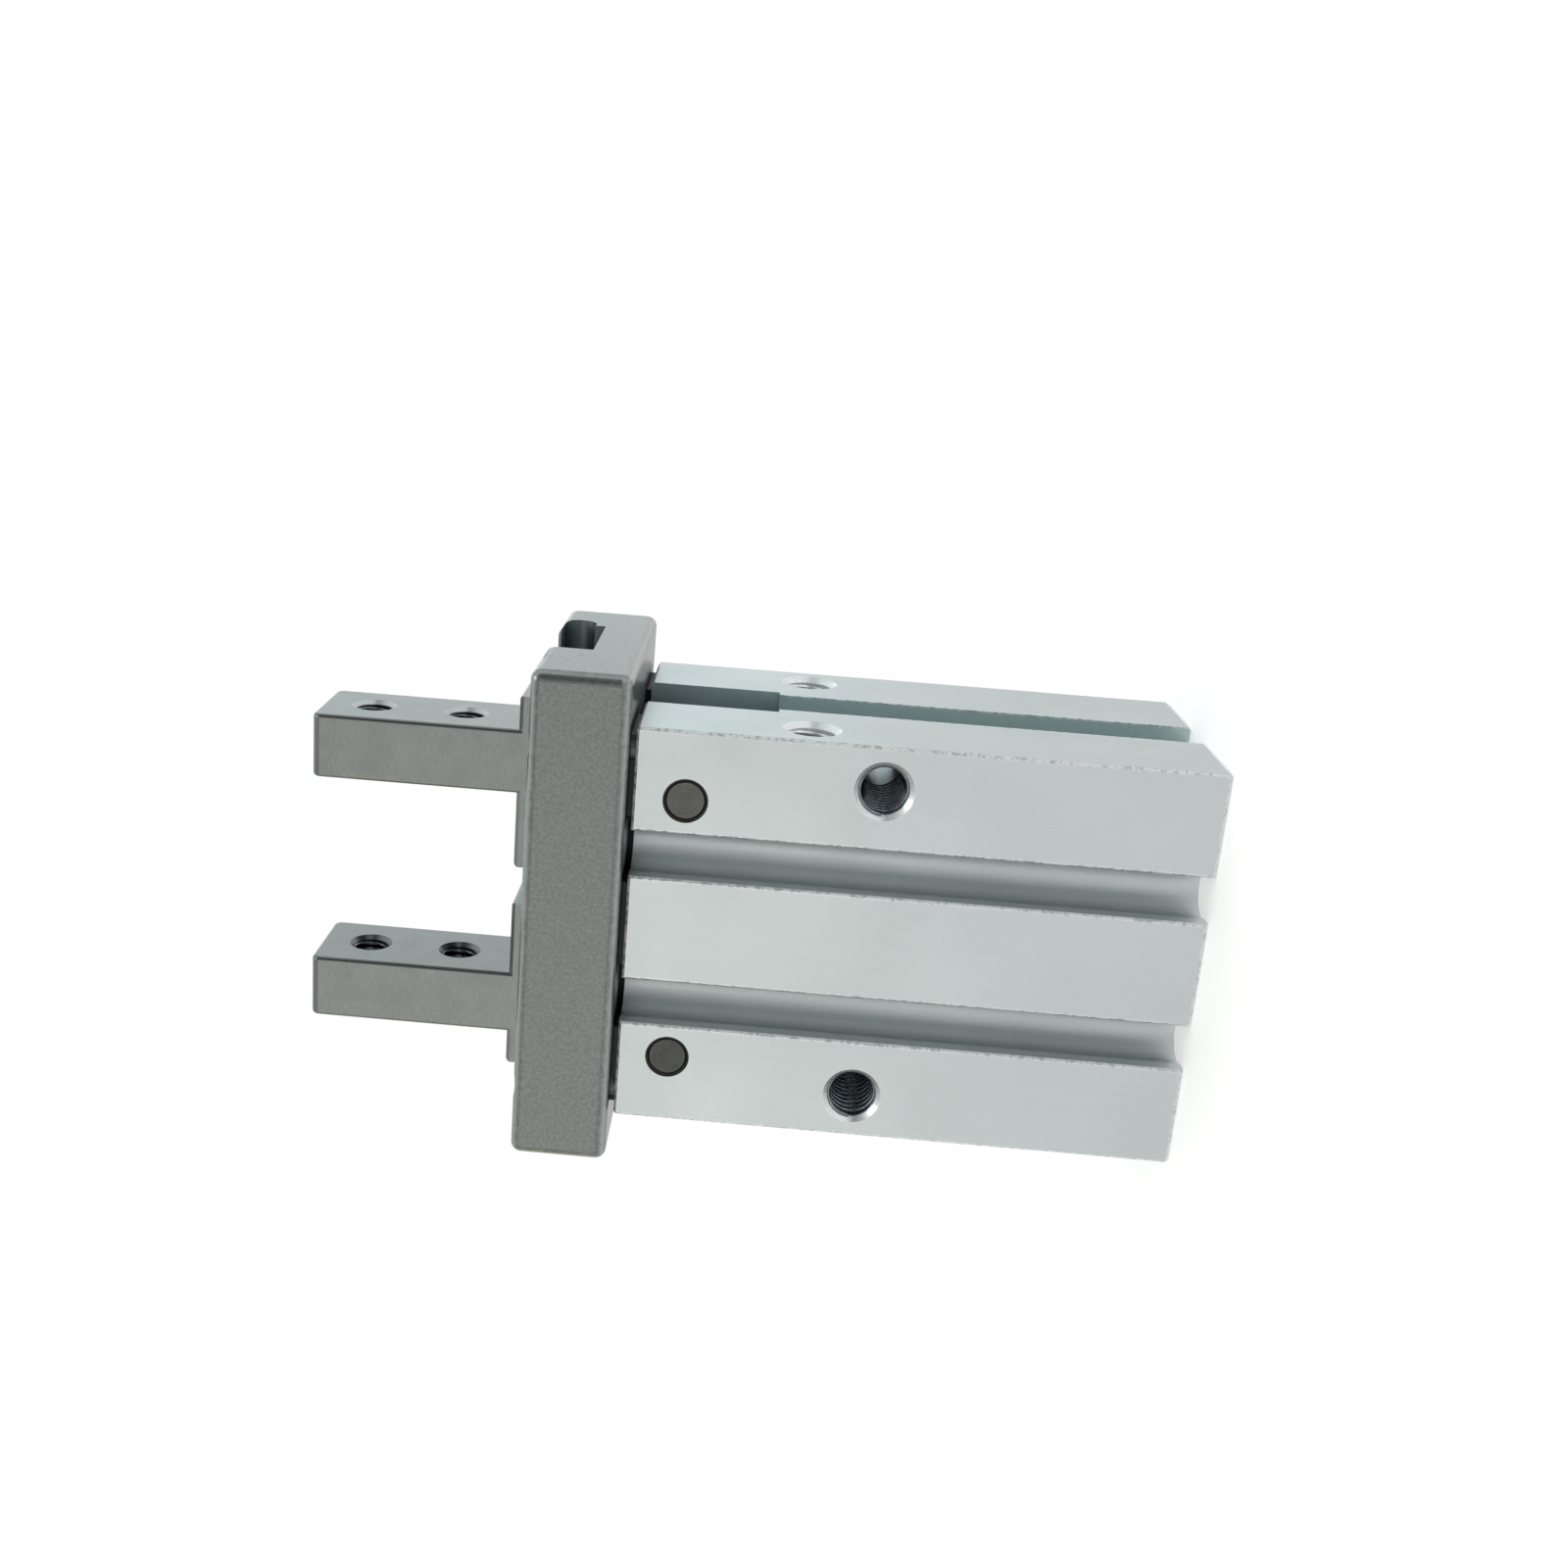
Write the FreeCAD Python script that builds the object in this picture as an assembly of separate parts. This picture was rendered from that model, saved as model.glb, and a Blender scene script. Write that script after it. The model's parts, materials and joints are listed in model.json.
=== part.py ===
import FreeCAD, Part
import math
import os
from FreeCAD import Vector

# Two-finger pneumatic parallel gripper, fingers closed.
# Origin: middle of the rear mounting face. +Z runs to the finger tips, +X is the way finger a opens.
# Letter a is the side at +X, letter b the side at -X. Millimetres.

# Body extrusion
body_width = 30.6
body_depth = 22.0
body_length = 42.1
body_edge = 0.2

# Sensor grooves in both broad faces
sensor_spacing = 11.6
sensor_mouth = 3.5
sensor_diameter = 3.9
sensor_lip = 1.2
sensor_edge = 0.15

# Lengthwise groove in the narrow face at +X
side_groove_width = 4.8
side_groove_depth = 1.3

# Lever slot, milled across the front of the body
slot_depth = 10.1

# Guide rail with its channel and ball raceways
gasket_thickness = 0.4
gasket_inset = 0.8
guide_width = 38.0
guide_depth = 23.6
guide_thickness = 7.3
guide_edge = 0.8
channel_width = 10.8
channel_depth = 3.6
channel_lip = 0.25
mouth_edge = 0.2
ball_diameter = 2.4
ball_gap = 0.2
ball_stand = 0.5
ball_clearance = 0.1
stop_thickness = 0.7
stop_reach = 0.4

# Fingers
finger_thickness = 5.0
finger_width = 8.0
finger_reach = 17.5
finger_edge = 0.3
tip_corner = 0.6
closed_gap = 14.9
finger_stroke = 3.0
slider_gap = 3.0
slider_step = 1.7
slider_clearance = 0.1
side_clearance = 0.2
finger_hole_diameter = 2.68
finger_hole_mouth = 3.4
tip_hole_inset = 3.9
finger_hole_spacing = 7.25

# Levers and their shafts
pivot_spacing = 20.2
pivot_setback = 3.8
shaft_diameter = 3.0
shaft_recess = 0.1
shaft_edge = 0.15
shaft_mouth_ring = 0.15
shaft_mouth_depth = 0.6
lever_thickness = 6.0
hub_diameter = 6.0
tip_height = 1.0
tip_diameter = 3.8
inner_end_diameter = 3.0
front_arm_neck = 2.6
inner_arm_neck = 1.9
socket_clearance = 0.05
window_clearance = 0.5

# Piston and what holds it
bore_diameter = 16.0
rod_diameter = 8.0
rod_web = 2.4
rod_flange = 1.6
piston_land = 0.75
piston_boss_height = 1.4
piston_boss_inset = 2.4
magnet_height = 3.0
magnet_depth = 2.2
seal_height = 2.2
seal_depth = 1.8
rod_seal_height = 2.0
rod_seal_depth = 1.6
bumper_height = 0.8
bumper_inset = 0.5
rest_gap = 0.1
end_gap = 0.2
cap_length = 5.6
cap_ring_diameter = 1.3
snap_thickness = 1.0
snap_groove_depth = 0.45
snap_width = 1.6
snap_gap = 5.0
snap_eye_diameter = 1.1
snap_lug_diameter = 2.6

# Fits
running_fit = 0.05
shaft_fit = 0.03
seat_fit = 0.02

# Mounting holes and ports
recess_step = 0.5
recess_depth = 1.5
snap_shelf = 0.5
rear_hole_spacing = 22.0
front_hole_spacing = 24.0
mount_tap = 3.55
mount_mouth = 4.4
rear_hole_depth = 7.5
front_hole_setback = 18.3
side_hole_spacing = 15.0
side_hole_setback = 12.9
side_hole_depth = 6.0
pin_hole_diameter = 3.0
pin_hole_depth = 3.0
pin_hole_x = 8.4
pin_hole_y = 6.2
port_tap = 4.48
port_mouth = 5.4
port_depth = 4.8
port_passage = 1.6
port_lap = 0.2

# Guide screws and dowels
screw_diameter = 2.0
screw_head_diameter = 3.8
screw_head_height = 2.0
screw_socket = 1.5
screw_length = 10.0
screw_sink = 0.3
screw_wall = 0.8
dowel_diameter = 2.0
dowel_length = 5.6
dowel_depth = 3.0
dowel_gap = 1.0

# Heights along Z
guide_rear = body_length + gasket_thickness
guide_front = guide_rear + guide_thickness
channel_floor = guide_front - channel_depth
lip_under = guide_front - channel_lip
slider_top = guide_front + slider_step
finger_tip = guide_front + finger_reach
slot_floor = body_length - slot_depth
pivot_z = body_length - pivot_setback
tip_z = channel_floor + tip_height
ball_radius = ball_diameter / 2
race_radius = ball_radius + ball_clearance
race_z = lip_under - race_radius

# Lever swing, worked out from the finger stroke
pivot_x = pivot_spacing / 2
front_arm = math.hypot(tip_z - pivot_z, finger_stroke / 2)
half_swing = math.asin(finger_stroke / 2 / front_arm)
inner_x = rod_web / 2 + inner_end_diameter / 2 + side_clearance
inner_arm = pivot_x - inner_x
piston_stroke = finger_stroke * inner_arm / front_arm
inner_z = pivot_z - piston_stroke / 2

# Stack along the bore, from the rear
snap_rear = recess_depth + snap_shelf
cap_rear = snap_rear + snap_thickness
cap_front = cap_rear + cap_length
piston_rear = cap_front + bumper_height + rest_gap
magnet_rear = piston_rear + piston_boss_height + piston_land
seal_rear = magnet_rear + magnet_height + piston_land
piston_front = seal_rear + seal_height + piston_land
bore_end = piston_front + piston_stroke + end_gap + bumper_height
head_top = inner_z + inner_end_diameter / 2 + socket_clearance + rod_flange

# Finger places across X, closed
finger_inner = closed_gap / 2
finger_outer = finger_inner + finger_thickness
slider_inner = slider_gap / 2
slider_outer = guide_width / 2 - stop_thickness - end_gap - finger_stroke

# Half-widths shared by mating pieces
bore_radius = bore_diameter / 2
recess_radius = bore_radius + recess_step
rod_radius = rod_diameter / 2
slot_half = lever_thickness / 2 + side_clearance
neck_half = finger_width / 2
mouth_half = neck_half + side_clearance
channel_half = channel_width / 2
slider_half = channel_half - side_clearance
ball_offset = channel_half + ball_stand
ball_pitch = ball_diameter + ball_gap

# Sensor grooves, measured from the broad face: the straight lip ends where the round part begins
sensor_radius = sensor_diameter / 2
sensor_floor = sensor_lip + math.sqrt(sensor_radius ** 2 - (sensor_mouth / 2) ** 2) + sensor_radius

# Air ports open into the bore behind the piston's boss and half-way along its stroke space
rear_port_z = piston_rear + piston_boss_height - port_lap
front_port_z = (piston_front + bore_end - bumper_height) / 2

OVERSHOOT = 1.0
X_AXIS = Vector(1, 0, 0)
Y_AXIS = Vector(0, 1, 0)
Z_AXIS = Vector(0, 0, 1)


def box(x0, x1, y0, y1, z0, z1):
    return Part.makeBox(x1 - x0, y1 - y0, z1 - z0, Vector(x0, y0, z0))


def cylinder(radius, start, direction, length):
    return Part.makeCylinder(radius, length, start, direction)


def profile(points):
    return Part.Face(Part.makePolygon(points + points[:1]))


def revolve(half_section):
    points = [Vector(radius, 0, z) for radius, z in half_section]
    return profile(points).revolve(Vector(0, 0, 0), Z_AXIS, 360)


def ring(inner, outer, z0, z1):
    return revolve([(inner, z0), (outer, z0), (outer, z1), (inner, z1)])


def hole(mouth_point, inward, tap, mouth, depth):
    """A drilled hole with a countersunk mouth, as a cutter."""
    sink = (mouth - tap) / 2
    drill = cylinder(tap / 2, mouth_point - inward * OVERSHOOT, inward, depth + OVERSHOOT)
    cone = Part.makeCone(
        mouth / 2 + OVERSHOOT, tap / 2, sink + OVERSHOOT, mouth_point - inward * OVERSHOOT, inward)
    return drill.fuse(cone)


def half_turn(shape):
    """The same piece on the other side of the gripper's axis."""
    turned = shape.copy()
    turned.rotate(Vector(0, 0, 0), Z_AXIS, 180)
    return turned


def sensor_groove(centre_x):
    """Keyhole groove for a round sensor, cut into the broad face at -Y along the whole body."""
    face_y = -body_depth / 2
    half = sensor_mouth / 2
    floor_y = face_y + sensor_floor
    neck_y = face_y + sensor_lip
    left = centre_x - half
    right = centre_x + half
    corners = [
        (left, neck_y), (left, face_y + sensor_edge), (left - sensor_edge, face_y),
        (left - sensor_edge, face_y - OVERSHOOT), (right + sensor_edge, face_y - OVERSHOOT),
        (right + sensor_edge, face_y), (right, face_y + sensor_edge), (right, neck_y),
    ]
    points = [Vector(x, y, -OVERSHOOT) for x, y in corners]
    floor = Part.Arc(points[-1], Vector(centre_x, floor_y, -OVERSHOOT), points[0]).toShape()
    outline = Part.Wire([*Part.makePolygon(points).Edges, floor])
    return Part.Face(outline).extrude(Z_AXIS * (body_length + 2 * OVERSHOOT))


def make_body():
    half_w = body_width / 2
    half_d = body_depth / 2
    block = box(-half_w, half_w, -half_d, half_d, 0, body_length)
    block = block.makeChamfer(body_edge, block.Edges)
    cuts = []
    for centre_x in (-sensor_spacing / 2, sensor_spacing / 2):
        groove = sensor_groove(centre_x)
        cuts += [groove, half_turn(groove)]
    groove_half = side_groove_width / 2
    cuts.append(box(half_w - side_groove_depth, half_w + OVERSHOOT, -groove_half, groove_half,
                    -OVERSHOOT, slot_floor + OVERSHOOT))
    cuts.append(box(-half_w - OVERSHOOT, half_w + OVERSHOOT, -slot_half, slot_half,
                    slot_floor, body_length + OVERSHOOT))
    # Bore, stepped from the locating recess at the rear to the rod bore
    snap_radius = bore_radius + snap_groove_depth
    seal_pocket = rod_radius + rod_seal_depth
    rod_bore = rod_radius + running_fit
    cuts.append(revolve([
        (0, -OVERSHOOT), (recess_radius, -OVERSHOOT), (recess_radius, recess_depth),
        (bore_radius, recess_depth), (bore_radius, snap_rear), (snap_radius, snap_rear),
        (snap_radius, cap_rear), (bore_radius, cap_rear), (bore_radius, bore_end),
        (seal_pocket, bore_end), (seal_pocket, bore_end + rod_seal_height),
        (rod_bore, bore_end + rod_seal_height), (rod_bore, body_length + OVERSHOOT),
        (0, body_length + OVERSHOOT),
    ]))
    front_hole_z = guide_rear - front_hole_setback
    side_hole_z = guide_rear - side_hole_setback
    for side in (-1, 1):
        cuts.append(hole(Vector(side * rear_hole_spacing / 2, 0, 0), Z_AXIS,
                         mount_tap, mount_mouth, rear_hole_depth))
        for face in (-1, 1):
            inward = Y_AXIS * -face
            cuts.append(hole(Vector(side * front_hole_spacing / 2, face * half_d, front_hole_z), inward,
                             mount_tap, mount_mouth, half_d + OVERSHOOT))
            mouth = Vector(side * pivot_x, face * half_d, pivot_z)
            cuts.append(cylinder(shaft_diameter / 2 + shaft_mouth_ring, mouth, inward, shaft_mouth_depth))
        shaft_start = Vector(side * pivot_x, -half_d - OVERSHOOT, pivot_z)
        cuts.append(cylinder(shaft_diameter / 2 + seat_fit, shaft_start, Y_AXIS,
                             body_depth + 2 * OVERSHOOT))
    for face in (-1, 1):
        cuts.append(hole(Vector(half_w, face * side_hole_spacing / 2, side_hole_z), -X_AXIS,
                         mount_tap, mount_mouth, side_hole_depth))
    cuts.append(cylinder(pin_hole_diameter / 2, Vector(pin_hole_x, pin_hole_y, -OVERSHOOT), Z_AXIS,
                         pin_hole_depth + OVERSHOOT))
    # Air ports in the narrow face at -X, each with a passage into its end of the bore
    for port_z in (rear_port_z, front_port_z):
        cuts.append(hole(Vector(-half_w, 0, port_z), X_AXIS, port_tap, port_mouth, port_depth))
        cuts.append(cylinder(port_passage / 2, Vector(-half_w + port_depth / 2, 0, port_z), X_AXIS,
                             half_w - port_depth / 2 - bore_radius / 2))
    for x, y in screw_places():
        cuts.append(cylinder(screw_diameter / 2 + seat_fit, Vector(x, y, screw_end() - end_gap), Z_AXIS,
                             body_length - screw_end() + OVERSHOOT))
    for x, y in dowel_places():
        cuts.append(cylinder(dowel_diameter / 2 + seat_fit, Vector(x, y, body_length - dowel_depth),
                             Z_AXIS, dowel_depth + OVERSHOOT))
    return block.cut(cuts)


def screw_places():
    """Outside the lever shafts, half-way between the raceways and the sides of the rail."""
    x = pivot_x + shaft_diameter / 2 + screw_wall + screw_diameter / 2
    y = (ball_offset + race_radius + guide_depth / 2) / 2
    return [(-x, -y), (-x, y), (x, -y), (x, y)]


def screw_end():
    return guide_front - screw_sink - screw_head_height - screw_length


def dowel_places():
    x = pivot_x + shaft_diameter / 2 + screw_wall + dowel_diameter / 2
    y = slot_half + dowel_gap + dowel_diameter / 2
    return [(x, -y), (-x, y)]


def make_screws():
    seat_z = guide_front - screw_sink - screw_head_height
    screws = []
    for x, y in screw_places():
        shank = cylinder(screw_diameter / 2, Vector(x, y, seat_z - screw_length), Z_AXIS, screw_length)
        head = cylinder(screw_head_diameter / 2, Vector(x, y, seat_z), Z_AXIS, screw_head_height)
        head = head.makeChamfer(screw_sink / 2, [head.Edges[0]])
        flat = screw_socket / math.sqrt(3)
        floor = Vector(x, y, seat_z + screw_head_height / 2)
        corners = [floor + Vector(math.cos(k * math.pi / 3), math.sin(k * math.pi / 3), 0) * flat
                   for k in range(6)]
        screw = shank.fuse(head).cut(profile(corners).extrude(Z_AXIS * screw_head_height))
        screws.append(screw.removeSplitter())
    return Part.makeCompound(screws)


def make_dowels():
    start = body_length - dowel_depth
    edge = dowel_diameter / 10
    pins = []
    for x, y in dowel_places():
        pin = cylinder(dowel_diameter / 2, Vector(x, y, start), Z_AXIS, dowel_length)
        pins.append(pin.makeChamfer(edge, [e for e in pin.Edges if e.Closed]))
    return Part.makeCompound(pins)


def make_gasket():
    half_w = body_width / 2 - gasket_inset
    half_d = body_depth / 2 - gasket_inset
    strip = box(-half_w, half_w, slot_half + gasket_inset, half_d, body_length, guide_rear)
    cuts = [cylinder(rod_radius + gasket_inset, Vector(0, 0, body_length), Z_AXIS, gasket_thickness)]
    notch = sensor_mouth / 2 + gasket_inset
    for centre_x in (-sensor_spacing / 2, sensor_spacing / 2):
        cuts.append(box(centre_x - notch, centre_x + notch, body_depth / 2 - sensor_floor - gasket_inset,
                        half_d + OVERSHOOT, body_length, guide_rear))
    for x, y in screw_places():
        cuts.append(cylinder(screw_diameter / 2 + running_fit, Vector(x, y, body_length), Z_AXIS,
                             gasket_thickness))
    for x, y in dowel_places():
        cuts.append(cylinder(dowel_diameter / 2 + running_fit, Vector(x, y, body_length), Z_AXIS,
                             gasket_thickness))
    back = strip.cut(cuts)
    return Part.makeCompound([back, half_turn(back)])


def channel_section(x, side_room=0.0):
    """Outline of the rail's channel, seen along X: mouth, lips, side walls and floor."""
    outline = [
        (mouth_half + mouth_edge, guide_front), (mouth_half, guide_front - mouth_edge),
        (mouth_half, lip_under), (channel_half, lip_under), (channel_half, channel_floor),
    ]
    right = [Vector(x, y - side_room, z) for y, z in outline]
    left = [Vector(x, side_room - y, z) for y, z in reversed(outline)]
    return profile(right + left)


def raceway(side, x0, x1, radius):
    return cylinder(radius, Vector(x0, side * ball_offset, race_z), X_AXIS, x1 - x0)


def rail_block():
    half_w = guide_width / 2
    half_d = guide_depth / 2
    block = box(-half_w, half_w, -half_d, half_d, guide_rear, guide_front)
    return block.makeFillet(guide_edge, block.Edges)


def make_guide():
    start = -guide_width / 2 - OVERSHOOT
    length = guide_width + 2 * OVERSHOOT
    cuts = [channel_section(start).extrude(X_AXIS * length)]
    cuts += [raceway(side, start, start + length, race_radius) for side in (-1, 1)]
    # Mouth cleared through the rounded front edges at both ends
    cuts.append(box(start, -start, -mouth_half, mouth_half, lip_under, guide_front + OVERSHOOT))
    window = finger_stroke / 2 + tip_diameter / 2 + window_clearance
    for side in (-1, 1):
        cuts.append(box(side * pivot_x - window, side * pivot_x + window, -slot_half, slot_half,
                        guide_rear - OVERSHOOT, channel_floor + OVERSHOOT))
    pocket_top = head_top + piston_stroke + 2 * end_gap
    if pocket_top > guide_rear:
        cuts.append(cylinder(rod_radius + end_gap, Vector(0, 0, guide_rear - OVERSHOOT), Z_AXIS,
                             pocket_top - guide_rear + OVERSHOOT))
    seat_z = guide_front - screw_sink - screw_head_height
    for x, y in screw_places():
        cuts.append(cylinder(screw_diameter / 2 + running_fit, Vector(x, y, guide_rear - OVERSHOOT), Z_AXIS,
                             guide_thickness + OVERSHOOT))
        cuts.append(cylinder(screw_head_diameter / 2 + running_fit, Vector(x, y, seat_z), Z_AXIS,
                             screw_head_height + screw_sink + OVERSHOOT))
    dowel_top = body_length - dowel_depth + dowel_length
    for x, y in dowel_places():
        cuts.append(cylinder(dowel_diameter / 2 + seat_fit, Vector(x, y, guide_rear - OVERSHOOT), Z_AXIS,
                             dowel_top + end_gap - guide_rear + OVERSHOOT))
    return rail_block().cut(cuts)


def make_stop():
    """Thin plate that closes the front half of the channel, flush with the rail's rounded +X end."""
    x0 = guide_width / 2 - stop_thickness
    plate = channel_section(x0, seat_fit).extrude(X_AXIS * stop_thickness)
    plate = plate.fuse(raceway(-1, x0, guide_width / 2, race_radius - seat_fit))
    keep = box(x0, guide_width / 2, -guide_depth / 2, stop_reach - neck_half, channel_floor, guide_front)
    return plate.common(keep).common(rail_block()).removeSplitter()


def make_finger():
    rail_floor = channel_floor + slider_clearance
    shoulder = lip_under - slider_clearance
    outline = [
        (neck_half - finger_edge, slider_top), (neck_half, slider_top - finger_edge), (neck_half, shoulder),
        (slider_half, shoulder), (slider_half, rail_floor),
    ]
    right = [Vector(slider_inner, y, z) for y, z in outline]
    left = [Vector(slider_inner, -y, z) for y, z in reversed(outline)]
    slider = profile(right + left).extrude(X_AXIS * (slider_outer - slider_inner))
    top_ends = [e for e in slider.Edges
                if e.BoundBox.ZMin > slider_top - seat_fit and e.BoundBox.XLength < seat_fit]
    slider = slider.makeFillet(finger_edge, top_ends)
    upright = box(finger_inner, finger_outer, -neck_half, neck_half, shoulder, finger_tip)
    corners = [e for e in upright.Edges
               if e.BoundBox.ZMin > finger_tip - seat_fit and e.BoundBox.YLength < seat_fit]
    upright = upright.makeFillet(tip_corner, corners)
    rims = [e for e in upright.Edges
            if e.BoundBox.XLength < seat_fit and e.CenterOfMass.z > shoulder + finger_edge]
    upright = upright.makeFillet(finger_edge, rims)
    finger = slider.fuse(upright)
    cuts = [raceway(side, slider_inner - OVERSHOOT, slider_outer + OVERSHOOT, race_radius)
            for side in (-1, 1)]
    # Socket under the finger for the round tip of the lever
    socket_half = tip_diameter / 2 + socket_clearance
    socket_x = pivot_x - finger_stroke / 2
    socket_top = pivot_z + front_arm + tip_diameter / 2 + 2 * slider_clearance
    cuts.append(box(socket_x - socket_half, socket_x + socket_half, -slot_half, slot_half,
                    rail_floor - OVERSHOOT, socket_top))
    for inset in (tip_hole_inset, tip_hole_inset + finger_hole_spacing):
        z = finger_tip - inset
        half = finger_thickness / 2 + OVERSHOOT / 2
        cuts.append(hole(Vector(finger_inner, 0, z), X_AXIS, finger_hole_diameter, finger_hole_mouth, half))
        cuts.append(hole(Vector(finger_outer, 0, z), -X_AXIS, finger_hole_diameter, finger_hole_mouth, half))
    return finger.cut(cuts).removeSplitter()


def make_balls():
    first = slider_inner + finger_stroke / 2 + ball_radius
    last = slider_outer - ball_radius
    count = int((last - first) / ball_pitch) + 1
    start = (first + last - (count - 1) * ball_pitch) / 2
    balls = []
    for side in (-1, 1):
        for index in range(count):
            centre = Vector(start + index * ball_pitch, side * ball_offset, race_z)
            balls.append(Part.makeSphere(ball_radius, centre, X_AXIS))
    return Part.makeCompound(balls)


def tapered_arm(start, start_radius, end, end_radius):
    """Flat arm whose sides are the outer tangents of two circles in the XZ plane."""
    along = end - start
    tilt = math.acos((start_radius - end_radius) / along.Length)
    heading = math.atan2(along.z, along.x)

    def rim(centre, radius, angle):
        return centre + Vector(math.cos(angle), 0, math.sin(angle)) * radius

    left = heading + tilt
    right = heading - tilt
    start_left, start_right = rim(start, start_radius, left), rim(start, start_radius, right)
    end_left, end_right = rim(end, end_radius, left), rim(end, end_radius, right)
    outline = Part.Wire([
        Part.makeLine(start_right, end_right),
        Part.Arc(end_right, rim(end, end_radius, heading), end_left).toShape(),
        Part.makeLine(end_left, start_left),
        Part.Arc(start_left, rim(start, start_radius, heading + math.pi), start_right).toShape(),
    ])
    return Part.Face(outline).extrude(Y_AXIS * lever_thickness)


def make_lever():
    y0 = -lever_thickness / 2
    pivot = Vector(pivot_x, y0, pivot_z)
    tip = pivot + Vector(-math.sin(half_swing), 0, math.cos(half_swing)) * front_arm
    inner = pivot + Vector(-math.cos(half_swing), 0, -math.sin(half_swing)) * inner_arm
    hub = hub_diameter / 2
    lever = tapered_arm(pivot, hub, tip, front_arm_neck / 2)
    lever = lever.fuse([
        tapered_arm(pivot, hub, inner, inner_arm_neck / 2),
        cylinder(tip_diameter / 2, tip, Y_AXIS, lever_thickness),
        cylinder(inner_end_diameter / 2, inner, Y_AXIS, lever_thickness),
    ])
    lever = lever.cut(cylinder(shaft_diameter / 2 + shaft_fit, pivot, Y_AXIS, lever_thickness))
    return lever.removeSplitter()


def make_shaft():
    length = body_depth - 2 * shaft_recess
    shaft = cylinder(shaft_diameter / 2, Vector(pivot_x, -length / 2, pivot_z), Y_AXIS, length)
    return shaft.makeChamfer(shaft_edge, [e for e in shaft.Edges if e.Closed])


def make_piston():
    radius = bore_radius - running_fit
    boss = radius - piston_boss_inset
    seal_floor = radius - seal_depth
    magnet_floor = radius - magnet_depth
    piston = revolve([
        (0, piston_rear), (boss, piston_rear), (boss, piston_rear + piston_boss_height),
        (radius, piston_rear + piston_boss_height), (radius, magnet_rear), (magnet_floor, magnet_rear),
        (magnet_floor, magnet_rear + magnet_height), (radius, magnet_rear + magnet_height),
        (radius, seal_rear), (seal_floor, seal_rear), (seal_floor, seal_rear + seal_height),
        (radius, seal_rear + seal_height), (radius, piston_front), (rod_radius, piston_front),
        (rod_radius, head_top - rod_flange / 4), (rod_radius - rod_flange / 4, head_top), (0, head_top),
    ])
    # Cross slots at the rod's end, one for each lever
    half_slot = inner_end_diameter / 2 + socket_clearance
    slot = box(rod_web / 2, rod_diameter, -rod_diameter, rod_diameter,
               inner_z - half_slot, inner_z + half_slot)
    return piston.cut([slot, half_turn(slot)])


def make_piston_seal():
    inner = bore_radius - running_fit - seal_depth + seat_fit
    outer = bore_radius - seat_fit
    groove = seal_height / 4
    return revolve([
        (inner, seal_rear + seat_fit), (outer, seal_rear + seat_fit), (outer, seal_rear + groove),
        (outer - groove, seal_rear + seal_height / 2), (outer, seal_rear + seal_height - groove),
        (outer, seal_rear + seal_height - seat_fit), (inner, seal_rear + seal_height - seat_fit),
    ])


def make_magnet():
    radius = bore_radius - running_fit
    return ring(radius - magnet_depth + seat_fit, radius - seat_fit,
                magnet_rear + seat_fit, magnet_rear + magnet_height - seat_fit)


def make_rod_seal():
    inner = rod_radius + seat_fit
    outer = rod_radius + rod_seal_depth - seat_fit
    lip = rod_seal_height / 3
    top = bore_end + rod_seal_height - seat_fit
    return revolve([
        (inner, bore_end), (outer, bore_end), (outer, top), (inner + lip, top), (inner, top - lip),
    ])


def make_bumper(z0):
    inner = rod_radius + end_gap
    outer = bore_radius - bumper_inset
    edge = bumper_height / 4
    z1 = z0 + bumper_height
    return revolve([
        (inner, z0), (outer - edge, z0), (outer, z0 + edge),
        (outer, z1 - edge), (outer - edge, z1), (inner, z1),
    ])


def make_end_cap():
    radius = bore_radius - seat_fit
    groove_floor = bore_radius - cap_ring_diameter
    groove_half = cap_ring_diameter / 2 + seat_fit
    middle = (cap_rear + cap_front) / 2
    dish = radius / 2
    return revolve([
        (0, cap_rear + cap_length / 4), (dish, cap_rear + cap_length / 4),
        (dish + cap_length / 4, cap_rear), (radius, cap_rear),
        (radius, middle - groove_half), (groove_floor, middle - groove_half),
        (groove_floor, middle + groove_half), (radius, middle + groove_half),
        (radius, cap_front), (0, cap_front),
    ])


def make_cap_ring():
    section = cap_ring_diameter / 2 - seat_fit
    middle = (cap_rear + cap_front) / 2
    return Part.makeTorus(bore_radius - cap_ring_diameter / 2, section, Vector(0, 0, middle), Z_AXIS)


def make_snap_ring():
    """Internal snap ring, its gap at +Y, with an eye in each end for pliers."""
    outer = bore_radius + snap_groove_depth - seat_fit
    inner = outer - snap_width
    band = ring(inner, outer, snap_rear, cap_rear)
    lug_radius = snap_lug_diameter / 2
    lug_x = snap_gap / 2 + lug_radius
    lug_y = math.sqrt((outer - lug_radius) ** 2 - lug_x ** 2) - snap_groove_depth
    lugs = [cylinder(lug_radius, Vector(side * lug_x, lug_y, snap_rear), Z_AXIS, snap_thickness)
            for side in (-1, 1)]
    eyes = [cylinder(snap_eye_diameter / 2, Vector(side * lug_x, lug_y, snap_rear), Z_AXIS, snap_thickness)
            for side in (-1, 1)]
    opening = box(-snap_gap / 2, snap_gap / 2, 0, outer, snap_rear, cap_rear)
    return band.fuse(lugs).cut([opening] + eyes).removeSplitter()


finger_a = make_finger()
lever_a = make_lever()
shaft_a = make_shaft()
balls_a = make_balls()
stop_a = make_stop()

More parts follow.
